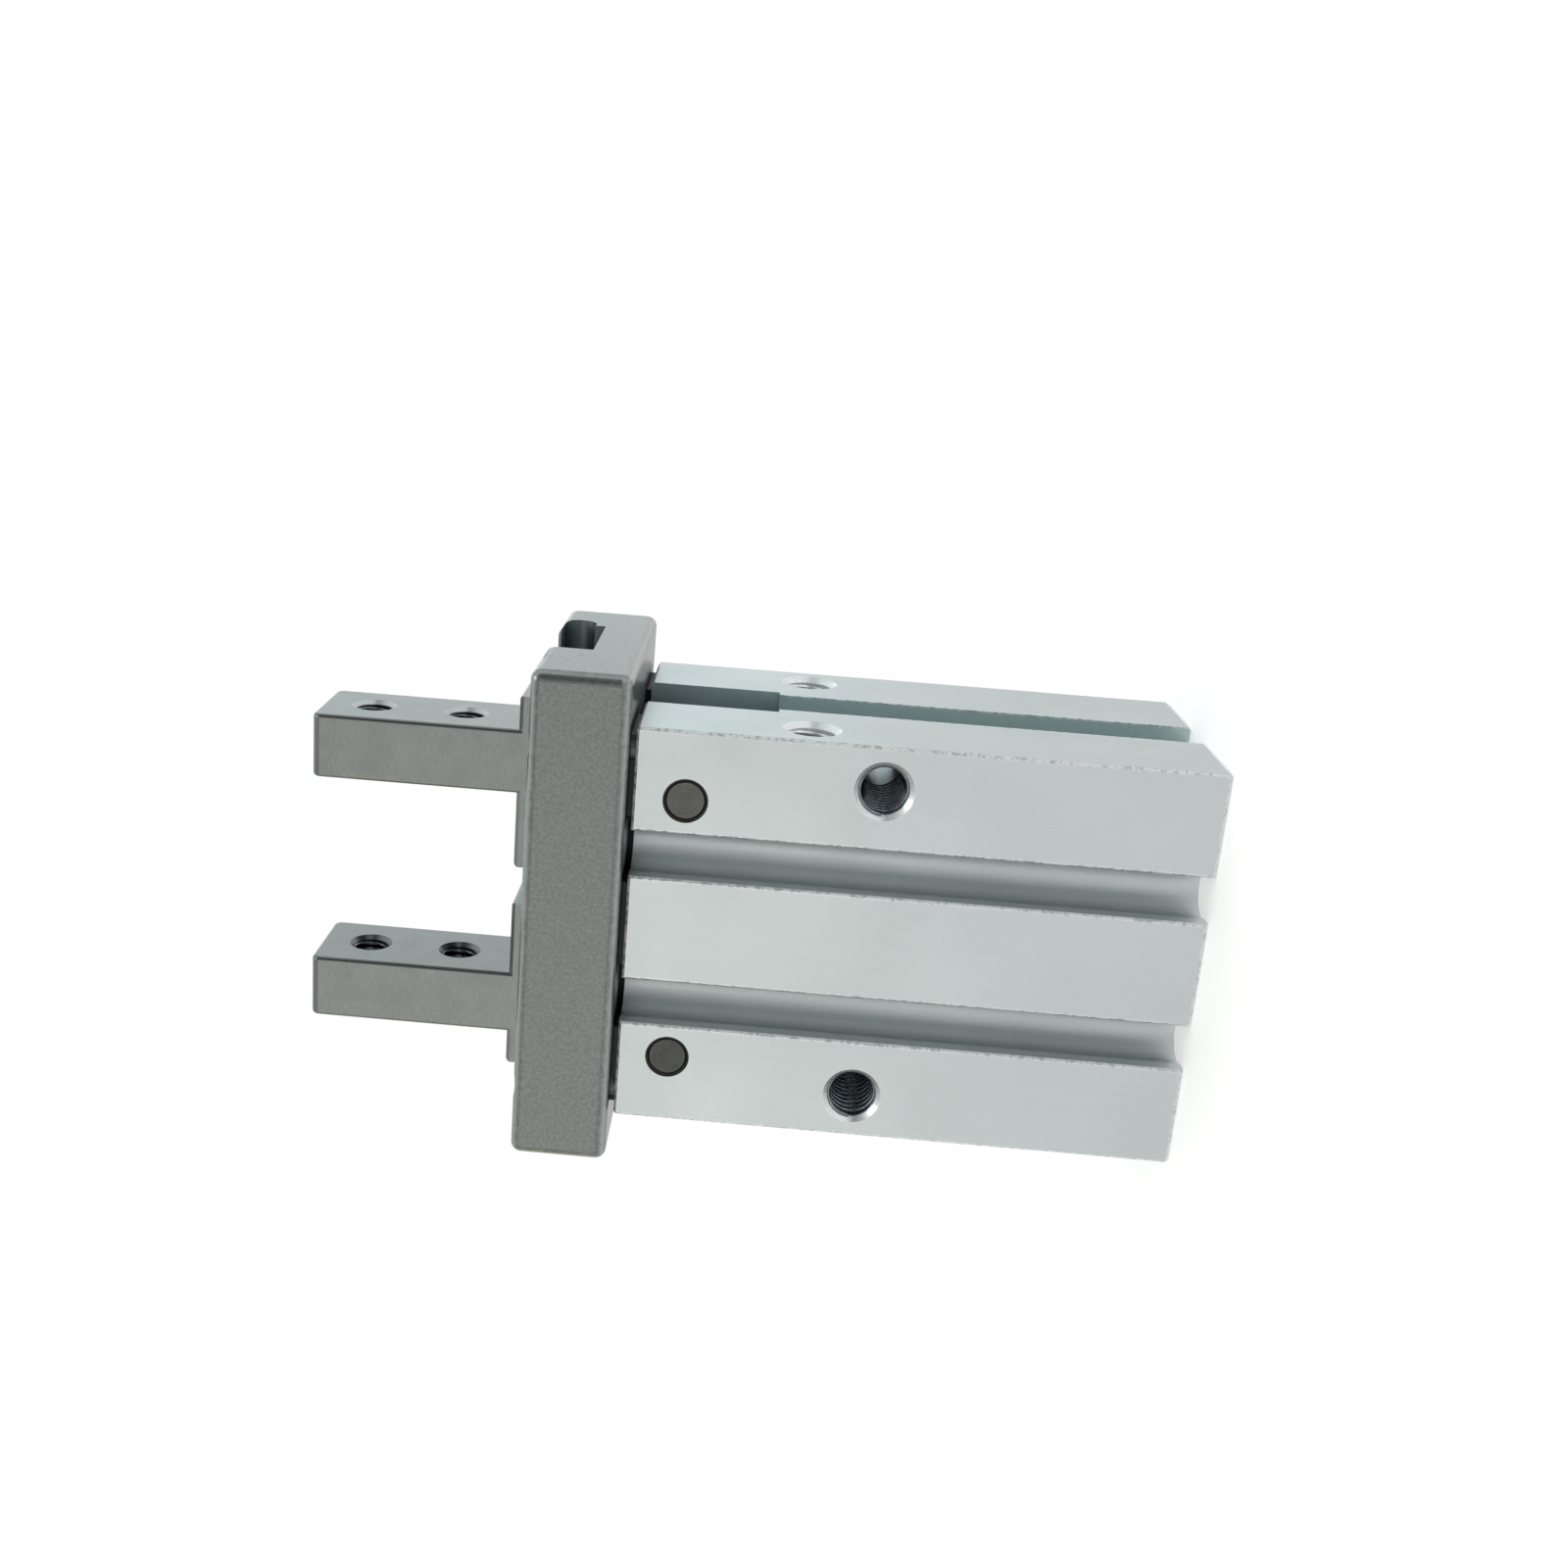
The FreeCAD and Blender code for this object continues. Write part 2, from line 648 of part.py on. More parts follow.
pieces = {
    "gripper_body": make_body(),
    "guide_rail": make_guide(),
    "guide_gasket": make_gasket(),
    "guide_screws": make_screws(),
    "guide_dowels": make_dowels(),
    "stop_plate_a": stop_a,
    "stop_plate_b": half_turn(stop_a),
    "finger_a": finger_a,
    "finger_b": half_turn(finger_a),
    "ball_row_a": balls_a,
    "ball_row_b": half_turn(balls_a),
    "lever_a": lever_a,
    "lever_b": half_turn(lever_a),
    "lever_shaft_a": shaft_a,
    "lever_shaft_b": half_turn(shaft_a),
    "piston": make_piston(),
    "piston_seal": make_piston_seal(),
    "piston_magnet": make_magnet(),
    "rod_seal": make_rod_seal(),
    "front_bumper": make_bumper(bore_end - bumper_height),
    "rear_bumper": make_bumper(cap_front),
    "end_cap": make_end_cap(),
    "cap_o_ring": make_cap_ring(),
    "snap_ring": make_snap_ring(),
}

os.makedirs("parts", exist_ok=True)
for name, shape in pieces.items():
    shape.exportStep(os.path.join("parts", name + ".step"))
    print(name, len(shape.Solids), "solids", round(shape.Volume, 2), "mm3, valid", shape.isValid())
print("piston stroke", round(piston_stroke, 4), "finger stroke", finger_stroke)
print("lever swing", round(math.degrees(2 * half_swing), 4), "degrees")
print("pivot", pivot_x, pivot_z, "tip", round(finger_tip, 3))
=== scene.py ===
import json
import math

import bmesh
import bpy
from mathutils import Matrix, Vector


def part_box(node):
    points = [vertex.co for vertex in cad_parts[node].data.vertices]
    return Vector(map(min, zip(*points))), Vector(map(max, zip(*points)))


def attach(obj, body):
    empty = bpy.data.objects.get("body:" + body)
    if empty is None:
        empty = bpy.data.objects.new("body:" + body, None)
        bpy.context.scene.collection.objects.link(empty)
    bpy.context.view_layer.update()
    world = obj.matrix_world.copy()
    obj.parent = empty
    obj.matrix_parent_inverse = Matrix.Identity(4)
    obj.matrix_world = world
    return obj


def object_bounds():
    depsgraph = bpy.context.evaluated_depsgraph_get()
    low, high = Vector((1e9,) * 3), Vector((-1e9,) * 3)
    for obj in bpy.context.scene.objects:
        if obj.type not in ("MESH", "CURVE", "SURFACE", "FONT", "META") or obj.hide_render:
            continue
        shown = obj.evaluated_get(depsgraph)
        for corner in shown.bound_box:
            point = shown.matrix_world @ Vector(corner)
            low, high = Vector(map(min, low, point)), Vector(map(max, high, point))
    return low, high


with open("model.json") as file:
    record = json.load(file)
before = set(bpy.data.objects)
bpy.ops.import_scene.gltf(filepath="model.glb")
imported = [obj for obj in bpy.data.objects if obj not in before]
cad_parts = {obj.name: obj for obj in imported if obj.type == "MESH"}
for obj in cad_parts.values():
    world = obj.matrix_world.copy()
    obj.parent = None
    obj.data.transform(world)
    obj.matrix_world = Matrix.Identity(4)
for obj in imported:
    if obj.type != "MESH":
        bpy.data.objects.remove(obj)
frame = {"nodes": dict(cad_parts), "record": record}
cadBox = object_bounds()
nodes = frame["nodes"]
mounts = {mount["name"]: mount for mount in frame["record"]["mounts"]}
mm = 0.001
origin = (0, 0, 0)
print("frame loaded:", len(nodes), "nodes,", len(mounts), "mounts")


# node tree helpers

def feed(tree, value, socket):
    if isinstance(value, bpy.types.NodeSocket):
        tree.links.new(value, socket)
    else:
        socket.default_value = value


def addNode(tree, kind, values=None, **settings):
    made = tree.nodes.new(kind)
    for name, value in settings.items():
        setattr(made, name, value)
    for name, value in (values or {}).items():
        feed(tree, value, made.inputs[name])
    return made


def maths(tree, operation, first, second=0.0, third=0.0):
    made = addNode(tree, "ShaderNodeMath", operation=operation)
    for socket, value in zip(made.inputs, (first, second, third)):
        feed(tree, value, socket)
    return made.outputs[0]


def weighted(tree, *parts):
    total = 0.0
    for value, share in parts:
        total = maths(tree, "MULTIPLY_ADD", value, share, total)
    return total


def vectors(tree, operation, first, second=(0, 0, 0)):
    made = addNode(tree, "ShaderNodeVectorMath", operation=operation)
    feed(tree, first, made.inputs[0])
    feed(tree, second, made.inputs[1])
    return made.outputs["Value" if operation in ("LENGTH", "DOT_PRODUCT") else "Vector"]


def axes(tree, vector):
    return addNode(tree, "ShaderNodeSeparateXYZ", {"Vector": vector}).outputs


def objectPlace(tree):
    return addNode(tree, "ShaderNodeTexCoord").outputs["Object"]


def remap(tree, value, span, toLow=0.0, toHigh=1.0):
    made = addNode(tree, "ShaderNodeMapRange", interpolation_type="SMOOTHSTEP")
    for socket, part in zip(made.inputs, (value, *span, toLow, toHigh)):
        feed(tree, part, socket)
    return made.outputs[0]


def mixColours(tree, share, first, second, blend="MIX"):
    # inputs 6 and 7 of this node are its colours
    made = addNode(tree, "ShaderNodeMix", data_type="RGBA", blend_type=blend)
    feed(tree, share, made.inputs[0])
    feed(tree, first, made.inputs[6])
    feed(tree, second, made.inputs[7])
    return made.outputs[2]


def blendValues(tree, share, first, second):
    # inputs 2 and 3 of this node are its plain values
    made = addNode(tree, "ShaderNodeMix", data_type="FLOAT")
    feed(tree, share, made.inputs[0])
    feed(tree, first, made.inputs[2])
    feed(tree, second, made.inputs[3])
    return made.outputs[0]


def noise(tree, place, scale, detail=2.0, roughness=0.5):
    made = addNode(tree, "ShaderNodeTexNoise",
                   {"Vector": place, "Scale": scale, "Detail": detail, "Roughness": roughness})
    return made.outputs[0]


def newGroup(name, inputs, outputs):
    group = bpy.data.node_groups.new(name, "ShaderNodeTree")
    for socketName, kind in inputs:
        group.interface.new_socket(name=socketName, in_out="INPUT", socket_type="NodeSocket" + kind)
    for socketName in outputs:
        group.interface.new_socket(name=socketName, in_out="OUTPUT", socket_type="NodeSocketFloat")
    return group, group.nodes.new("NodeGroupInput").outputs, group.nodes.new("NodeGroupOutput").inputs


# shared surface effects; lengths are metres, masks and tones run 0 to 1

def depthInBox(group, given):
    fromCentre = vectors(group, "SUBTRACT", objectPlace(group), given["Centre"])
    return axes(group, vectors(group, "SUBTRACT", given["Half"], vectors(group, "ABSOLUTE", fromCentre)))


edgeNoise = {"scale": 2200, "detail": 3, "share": 0.9, "least": 0.55}  # makes the worn width uneven


# one edge mask carries the worn edges of the body and the painted highlight on the rail's rounded edges
def makeEdgeWearAndHighlight():
    group, given, result = newGroup(
        "edgeWearAndHighlight", (("Centre", "Vector"), ("Half", "Vector"), ("Width", "Float")), ("Mask",))
    x, y, z = depthInBox(group, given)
    # on a box the middle one of the three depths is the distance to the nearest edge
    nearer = maths(group, "MINIMUM", x, y)
    farther = maths(group, "MAXIMUM", x, y)
    edge = maths(group, "MAXIMUM", nearer, maths(group, "MINIMUM", farther, z))
    ragged = noise(group, objectPlace(group), edgeNoise["scale"], edgeNoise["detail"])
    uneven = maths(group, "MULTIPLY_ADD", ragged, edgeNoise["share"], edgeNoise["least"])
    rubbed = maths(group, "MULTIPLY", uneven, given["Width"])
    feed(group, remap(group, edge, (0.0, rubbed), 1.0, 0.0), result["Mask"])
    return group


holeBlur = {
    "wall": (0.04 * mm, 0.10 * mm), "floor": (0.0, 0.10 * mm), "rim": (-0.04 * mm, 0.05 * mm),
    "mouth": (0.05 * mm, 0.15 * mm),
}


def makeHoleTone():
    # Wall is the bored surface of a round hole and Rim the countersink at its mouth
    # Fold is 1 for an axis that has the same hole on both of its sides
    group, given, result = newGroup(
        "holeTone", (("Mouth", "Vector"), ("Inward", "Vector"), ("Fold", "Vector"), ("Depth", "Float"),
                     ("Radius", "Float"), ("Rim Width", "Float")), ("Wall", "Rim"))
    place = objectPlace(group)
    unfolded = vectors(group, "MULTIPLY", place, vectors(group, "SUBTRACT", (1, 1, 1), given["Fold"]))
    mirrored = vectors(group, "MULTIPLY", vectors(group, "ABSOLUTE", place), given["Fold"])
    reach = vectors(group, "SUBTRACT", vectors(group, "ADD", unfolded, mirrored), given["Mouth"])
    depth = vectors(group, "DOT_PRODUCT", reach, given["Inward"])
    sunk = vectors(group, "MULTIPLY", given["Inward"], depth)
    radius = vectors(group, "LENGTH", vectors(group, "SUBTRACT", reach, sunk))
    past = maths(group, "SUBTRACT", radius, given["Radius"])
    bored = remap(group, past, holeBlur["wall"], 1.0, 0.0)
    pastFloor = maths(group, "SUBTRACT", depth, given["Depth"])
    inside = remap(group, pastFloor, holeBlur["floor"], 1.0, 0.0)
    feed(group, maths(group, "MULTIPLY", bored, inside), result["Wall"])
    pastRim = maths(group, "SUBTRACT", past, given["Rim Width"])
    ring = maths(group, "MULTIPLY", maths(group, "SUBTRACT", 1.0, bored),
                 remap(group, pastRim, holeBlur["rim"], 1.0, 0.0))
    pastMouth = maths(group, "SUBTRACT", depth, given["Rim Width"])
    shallow = remap(group, pastMouth, holeBlur["mouth"], 1.0, 0.0)
    feed(group, maths(group, "MULTIPLY", ring, shallow), result["Rim"])
    return group


boxBlur = (0.0, 0.03 * mm)


def makeBoxTone():
    group, given, result = newGroup("boxTone", (("Centre", "Vector"), ("Half", "Vector")), ("Mask",))
    x, y, z = depthInBox(group, given)
    depth = maths(group, "MINIMUM", x, maths(group, "MINIMUM", y, z))
    feed(group, remap(group, depth, boxBlur), result["Mask"])
    return group


grainNoise = {"detail": 2, "roughness": 0.6, "cloudDetail": 3}


def makeFineGrain():
    group, given, result = newGroup(
        "fineGrain", (("Size", "Float"), ("Cloud Size", "Float")), ("Grain", "Cloud"))
    place = objectPlace(group)
    grainScale = maths(group, "DIVIDE", 1.0, given["Size"])
    cloudScale = maths(group, "DIVIDE", 1.0, given["Cloud Size"])
    grain = noise(group, place, grainScale, grainNoise["detail"], grainNoise["roughness"])
    feed(group, grain, result["Grain"])
    feed(group, noise(group, place, cloudScale, grainNoise["cloudDetail"]), result["Cloud"])
    return group


lineNoise = {"detail": 4, "roughness": 0.65}


def makeFineLines():
    # lines run along the way whose Squeeze is small
    group, given, result = newGroup("fineLines", (("Squeeze", "Vector"),), ("Lines",))
    squeezed = vectors(group, "MULTIPLY", objectPlace(group), given["Squeeze"])
    feed(group, noise(group, squeezed, 1.0, lineNoise["detail"], lineNoise["roughness"]), result["Lines"])
    return group


mottleNoise = {
    "smoothness": 0.6, "cellShare": 0.12, "cloudScale": 0.7, "cloudDetail": 4, "cloudRoughness": 0.62,
    "cloudShare": 0.9, "patchSpan": (0.34, 0.66), "pitScale": 2.6, "pitDetail": 2, "pitRoughness": 0.7,
    "pitSpan": (0.62, 0.78),
}


def makeMottle():
    group, given, result = newGroup("mottle", (("Size", "Float"),), ("Patches", "Pits"))
    look = mottleNoise
    place = objectPlace(group)
    scale = maths(group, "DIVIDE", 1.0, given["Size"])
    cells = addNode(group, "ShaderNodeTexVoronoi",
                    {"Vector": place, "Scale": scale, "Smoothness": look["smoothness"]}, feature="SMOOTH_F1")
    cloud = noise(group, place, maths(group, "MULTIPLY", scale, look["cloudScale"]),
                  look["cloudDetail"], look["cloudRoughness"])
    mixed = weighted(group, (cells.outputs["Distance"], look["cellShare"]), (cloud, look["cloudShare"]))
    feed(group, remap(group, mixed, look["patchSpan"]), result["Patches"])
    specks = noise(group, place, maths(group, "MULTIPLY", scale, look["pitScale"]),
                   look["pitDetail"], look["pitRoughness"])
    feed(group, remap(group, specks, look["pitSpan"]), result["Pits"])
    return group


ringNoise = {"detail": 3, "roughness": 0.7}


def makeTurnRings():
    # rings round an axis through Centre; Across is 0 along that axis and 1 across it
    group, given, result = newGroup(
        "turnRings", (("Centre", "Vector"), ("Across", "Vector"), ("Pitch", "Float")), ("Rings",))
    fromCentre = vectors(group, "SUBTRACT", objectPlace(group), given["Centre"])
    radius = vectors(group, "LENGTH", vectors(group, "MULTIPLY", fromCentre, given["Across"]))
    turns = maths(group, "DIVIDE", radius, given["Pitch"])
    along = addNode(group, "ShaderNodeCombineXYZ", {"X": turns}).outputs[0]
    feed(group, noise(group, along, 1.0, ringNoise["detail"], ringNoise["roughness"]), result["Rings"])
    return group


edgeWearAndHighlight = makeEdgeWearAndHighlight()
holeTone = makeHoleTone()
boxTone = makeBoxTone()
fineGrain = makeFineGrain()
fineLines = makeFineLines()
mottle = makeMottle()
turnRings = makeTurnRings()
print("surface effects ready")


# finishes

def useGroup(tree, group, values):
    return addNode(tree, "ShaderNodeGroup", values, node_tree=group).outputs


def newFinish(name, metallic, roughness=0.5):
    made = bpy.data.materials.new(name)
    made.use_nodes = True
    shader = made.node_tree.nodes["Principled BSDF"]
    shader.inputs["Metallic"].default_value = metallic
    shader.inputs["Roughness"].default_value = roughness
    return made, made.node_tree, shader.inputs


def addRelief(tree, skin, height, depth):
    bump = addNode(tree, "ShaderNodeBump", {"Strength": 1.0, "Distance": depth, "Height": height})
    tree.links.new(bump.outputs[0], skin["Normal"])


def boxValues(node, width):
    low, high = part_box(node)
    return {"Centre": (low + high) / 2, "Half": (high - low) / 2, "Width": width}


def halfPitch(mount, way):
    return mount["dims"]["spacing_" + way + "_mm"] / 2 * mm


def holeRadius(mount):
    return mount["dims"]["hole_r_mm"] * mm


# the part of a noise's range that a finish stretches to all of its colours or roughness
toneSpan = (0.35, 0.65)
roughSpan = (0.3, 0.7)
wholeSpan = (0.0, 1.0)

bodyLow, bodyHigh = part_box("gripper_body")
bodyLook = {
    # satin skin
    "colour": (0.552, 0.592, 0.592, 1), "shade": (0.514, 0.556, 0.556, 1), "metallic": 0.92,
    "roughLow": 0.38, "roughHigh": 0.50, "toneSpan": (0.32, 0.68), "relief": 0.0022 * mm, "lineRelief": 0.5,
    "grain": 0.11 * mm, "grainShare": 0.5, "cloud": 9 * mm, "cloudShare": 0.3,
    "lineWidth": 0.10 * mm, "lineStretch": 160, "lineShare": 0.2,
    # pale edges, broken into bright burr and dark nicks
    "edge": (0.66, 0.69, 0.69, 1), "edgeWidth": 0.31 * mm, "edgeShare": 0.7, "burrSize": 0.26 * mm,
    "burr": (0.86, 0.88, 0.88, 1), "burrSpan": (0.30, 0.60), "burrMetallic": 0.30,
    "nick": (0.34, 0.37, 0.38, 1), "nickSpan": (0.06, 0.28), "lipWidth": 0.24 * mm, "lipShare": 0.68,
    # sensor grooves, groove in the narrow face, lever slot; the groove and slot colours are painted shade
    "sensorAcross": 5.8 * mm, "sensorHalf": 1.83 * mm,
    "groove": (0.86, 0.96, 0.96, 1), "grooveHalf": 2.43 * mm, "grooveDepth": 1.35 * mm,
    "slot": (0.52, 0.63, 0.65, 1), "slotHalf": 3.25 * mm, "slotDepth": 10.15 * mm,
    # threaded holes and ports; the wall colour is painted shade in the bored holes, the side wall and rim
    # colours painted highlight
    "wall": (0.150, 0.190, 0.220, 1), "wallRough": 0.20, "paintedHighlightSideWall": (0.80, 0.83, 0.83, 1),
    "rim": (0.84, 0.87, 0.87, 1), "rimRough": 0.36, "rimSpeckle": 0.4, "speckleSpan": (0.36, 0.58),
    "rimWidth": 0.425 * mm, "portRim": 0.46 * mm,
    "sideDepth": 6.6 * mm, "rearDepth": 8.2 * mm, "portDepth": 5.4 * mm,
}


def bodyHoles(look):
    front = mounts["front_threads"]
    side = mounts["side_threads"]
    rear = mounts["rear_threads"]
    sideMouth = (bodyHigh.x, halfPitch(side, "x"), side["pos_m"][2])
    backMouth = (halfPitch(front, "x"), bodyHigh.y, front["pos_m"][2])
    rearMouth = (halfPitch(rear, "x"), 0, bodyLow.z)
    spots = [
        (sideMouth, (-1, 0, 0), (0, 1, 0), look["sideDepth"]),
        (backMouth, (0, -1, 0), (1, 1, 0), bodyHigh.y),
        (rearMouth, (0, 0, 1), (1, 0, 0), look["rearDepth"]),
    ]
    holes = [{"Mouth": mouth, "Inward": inward, "Fold": fold, "Depth": depth, "Radius": holeRadius(front),
              "Rim Width": look["rimWidth"]} for mouth, inward, fold, depth in spots]
    for name in ("opening_port", "closing_port"):
        port = mounts[name]
        holes.append({"Mouth": (bodyLow.x, 0, port["pos_m"][2]), "Inward": (1, 0, 0), "Fold": (0, 0, 0),
                      "Depth": look["portDepth"], "Radius": port["dims"]["r_mm"] * mm,
                      "Rim Width": look["portRim"]})
    return holes


# masks for the painted shade on hole walls and the painted highlight on their rims
def holeMasks(tree, holes):
    paintedShadeWalls = 0.0
    rims = 0.0
    for hole in holes:
        masks = useGroup(tree, holeTone, hole)
        paintedShadeWalls = maths(tree, "MAXIMUM", masks["Wall"], paintedShadeWalls)
        rims = maths(tree, "MAXIMUM", masks["Rim"], rims)
    return paintedShadeWalls, rims


def apart(tree, first, second):
    return maths(tree, "ABSOLUTE", maths(tree, "SUBTRACT", first, second))


def grooveLips(tree, look):
    # how near a point is to the mouth edges of the sensor grooves and of the groove in the narrow face
    place = axes(tree, objectPlace(tree))
    offX = maths(tree, "ABSOLUTE", place["X"])
    offY = maths(tree, "ABSOLUTE", place["Y"])
    sensor = maths(tree, "MAXIMUM", maths(tree, "SUBTRACT", bodyHigh.y, offY),
                   apart(tree, apart(tree, offX, look["sensorAcross"]), look["sensorHalf"]))
    narrow = maths(tree, "MAXIMUM", maths(tree, "SUBTRACT", bodyHigh.x, place["X"]),
                   apart(tree, offY, look["grooveHalf"]))
    nearest = maths(tree, "MINIMUM", sensor, narrow)
    return remap(tree, nearest, (0.0, look["lipWidth"]), look["lipShare"], 0.0)


def wornEdges(tree, look, colour):
    edge = useGroup(tree, edgeWearAndHighlight, boxValues("gripper_body", look["edgeWidth"]))["Mask"]
    colour = mixColours(tree, maths(tree, "MULTIPLY", edge, look["edgeShare"]), colour, look["edge"])
    worn = maths(tree, "MAXIMUM", edge, grooveLips(tree, look))
    chips = useGroup(tree, mottle, {"Size": look["burrSize"]})["Patches"]
    burr = maths(tree, "MULTIPLY", worn, remap(tree, chips, look["burrSpan"]))
    nick = maths(tree, "MULTIPLY", worn, remap(tree, chips, look["nickSpan"], 1.0, 0.0))
    colour = mixColours(tree, burr, colour, look["burr"])
    return mixColours(tree, nick, colour, look["nick"]), burr


def paintedCavityShade(tree, look, colour):
    # milled lever slot, drawn groove in the narrow face: both darkened as painted shade for the shade inside
    # them
    grooveBox = {"Centre": (bodyHigh.x, 0, 0),
                 "Half": (look["grooveDepth"], look["grooveHalf"], bodyHigh.z * 2)}
    slotShadeBox = {"Centre": (0, 0, bodyHigh.z),
               "Half": (bodyHigh.x * 2, look["slotHalf"], look["slotDepth"])}
    groove = useGroup(tree, boxTone, grooveBox)["Mask"]
    slot = useGroup(tree, boxTone, slotShadeBox)["Mask"]
    colour = mixColours(tree, groove, colour, look["groove"], "MULTIPLY")
    # painted shade in the lever slot
    return mixColours(tree, slot, colour, look["slot"])


def anodisedAluminium(look):
    made, tree, skin = newFinish("anodisedAluminium", look["metallic"])
    grain = useGroup(tree, fineGrain, {"Size": look["grain"], "Cloud Size": look["cloud"]})
    across = 1 / look["lineWidth"]
    squeeze = (across, across, across / look["lineStretch"])
    lines = useGroup(tree, fineLines, {"Squeeze": squeeze})["Lines"]
    tone = weighted(tree, (grain["Grain"], look["grainShare"]), (grain["Cloud"], look["cloudShare"]),
                    (lines, look["lineShare"]))
    colour = mixColours(tree, remap(tree, tone, look["toneSpan"]), look["shade"], look["colour"])
    colour, burr = wornEdges(tree, look, colour)
    feed(tree, blendValues(tree, burr, look["metallic"], look["burrMetallic"]), skin["Metallic"])
    colour = paintedCavityShade(tree, look, colour)
    side, *deep = bodyHoles(look)
    paintedHighlightSideWalls, paintedHighlightSideRims = holeMasks(tree, [side])
    paintedShadeWalls, rims = holeMasks(tree, deep)
    # painted shade: the bored walls of the holes and ports are darkened to stand for the shade inside them
    colour = mixColours(tree, paintedShadeWalls, colour, look["wall"])
    # painted highlight: the walls of the shallow side holes are made pale
    colour = mixColours(tree, paintedHighlightSideWalls, colour, look["paintedHighlightSideWall"])
    # painted highlight: the countersinks round the hole mouths are near white, broken up by the grain
    rims = maths(tree, "MAXIMUM", rims, paintedHighlightSideRims)
    speckle = remap(tree, grain["Grain"], look["speckleSpan"], look["rimSpeckle"], 1.0)
    paintedHighlight = maths(tree, "MULTIPLY", rims, speckle)
    feed(tree, mixColours(tree, paintedHighlight, colour, look["rim"]), skin["Base Color"])
    rough = remap(tree, tone, roughSpan, look["roughHigh"], look["roughLow"])
    rough = blendValues(tree, paintedShadeWalls, rough, look["wallRough"])
    feed(tree, blendValues(tree, rims, rough, look["rimRough"]), skin["Roughness"])
    height = maths(tree, "MULTIPLY_ADD", lines, look["lineRelief"], grain["Grain"])
    addRelief(tree, skin, height, look["relief"])
    return made


railLook = {
    # edge is a pale band over the rounded edges, a painted highlight
    "colour": (0.163, 0.176, 0.167, 1), "shade": (0.132, 0.143, 0.137, 1), "edge": (0.50, 0.54, 0.53, 1),
    "roughLow": 0.28, "roughHigh": 0.32, "patch": 0.18 * mm, "edgeWidth": 0.75 * mm, "edgeShare": 0.70,
    "pitShare": 0.35, "pitRelief": 0.6, "relief": 0.00025 * mm,
    "channel": (0.235, 0.285, 0.285, 1), "channelRough": 0.46, "channelHalf": 7.25 * mm,
    "channelDepth": 3.65 * mm, "channelLip": 0.2 * mm, "channelEnd": 0.05 * mm,
}


def railChannel(tree, look):
    # milled channel with its raceways, between the lips and the floor
    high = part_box("guide_rail")[1]
    reach = (look["channelDepth"] - look["channelLip"]) / 2
    return useGroup(tree, boxTone, {
        "Centre": (0, 0, high.z - look["channelLip"] - reach),
        "Half": (high.x - look["channelEnd"], look["channelHalf"], reach)})["Mask"]


def tumbledSteel(look):
    made, tree, skin = newFinish("tumbledSteel", 1.0)
    spots = useGroup(tree, mottle, {"Size": look["patch"]})
    edge = useGroup(tree, edgeWearAndHighlight, boxValues("guide_rail", look["edgeWidth"]))["Mask"]
    colour = mixColours(tree, spots["Patches"], look["shade"], look["colour"])
    colour = mixColours(tree, maths(tree, "MULTIPLY", spots["Pits"], look["pitShare"]), colour, look["shade"])
    # painted highlight: a pale band along the rounded edges
    colour = mixColours(tree, maths(tree, "MULTIPLY", edge, look["edgeShare"]), colour, look["edge"])
    channel = railChannel(tree, look)
    feed(tree, mixColours(tree, channel, colour, look["channel"]), skin["Base Color"])
    rough = remap(tree, spots["Patches"], wholeSpan, look["roughHigh"], look["roughLow"])
    feed(tree, blendValues(tree, channel, rough, look["channelRough"]), skin["Roughness"])
    height = maths(tree, "MULTIPLY_ADD", spots["Pits"], -look["pitRelief"], spots["Patches"])
    addRelief(tree, skin, height, look["relief"])
    return made


fingerLook = {
    "colour": (0.196, 0.209, 0.200, 1), "shade": (0.165, 0.177, 0.170, 1), "edge": (0.36, 0.385, 0.38, 1),
    "edgeWidth": 0.2 * mm, "edgeShare": 0.5,
    # wall is painted shade inside the finger's holes, rim a painted highlight round their mouths
    "wall": (0.05, 0.058, 0.06, 1), "rim": (0.50, 0.53, 0.53, 1), "rimWidth": 0.36 * mm,
    "rough": (0.26, 0.34), "squeeze": (1.1, 9.0, 9.0), "cloud": 2.2 * mm, "relief": 0.0016 * mm,
}
leverLook = {
    "colour": (0.150, 0.150, 0.152, 1), "shade": (0.105, 0.105, 0.108, 1),
    "rough": (0.32, 0.48), "squeeze": (8.0, 1.2, 8.0), "cloud": 1.2 * mm, "relief": 0.0040 * mm,
}
groundMarks = {
    "grain": 0.09 * mm, "lineShare": 0.55, "cloudShare": 0.25, "grainShare": 0.2, "toneSpan": (0.34, 0.66),
}


def fingerHoles(look, side):
    mount = mounts["finger_" + side + "_threads"]
    low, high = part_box("finger_" + side)
    holes = []
    for way in (-1, 1):
        mouth = Vector(mount["pos_m"]) + Vector((0, 0, way * halfPitch(mount, "y")))
        holes.append({"Mouth": mouth, "Inward": (-mount["axis"][0], 0, 0), "Fold": (0, 0, 0),
                      "Depth": high.x - low.x, "Radius": holeRadius(mount), "Rim Width": look["rimWidth"]})
    return holes


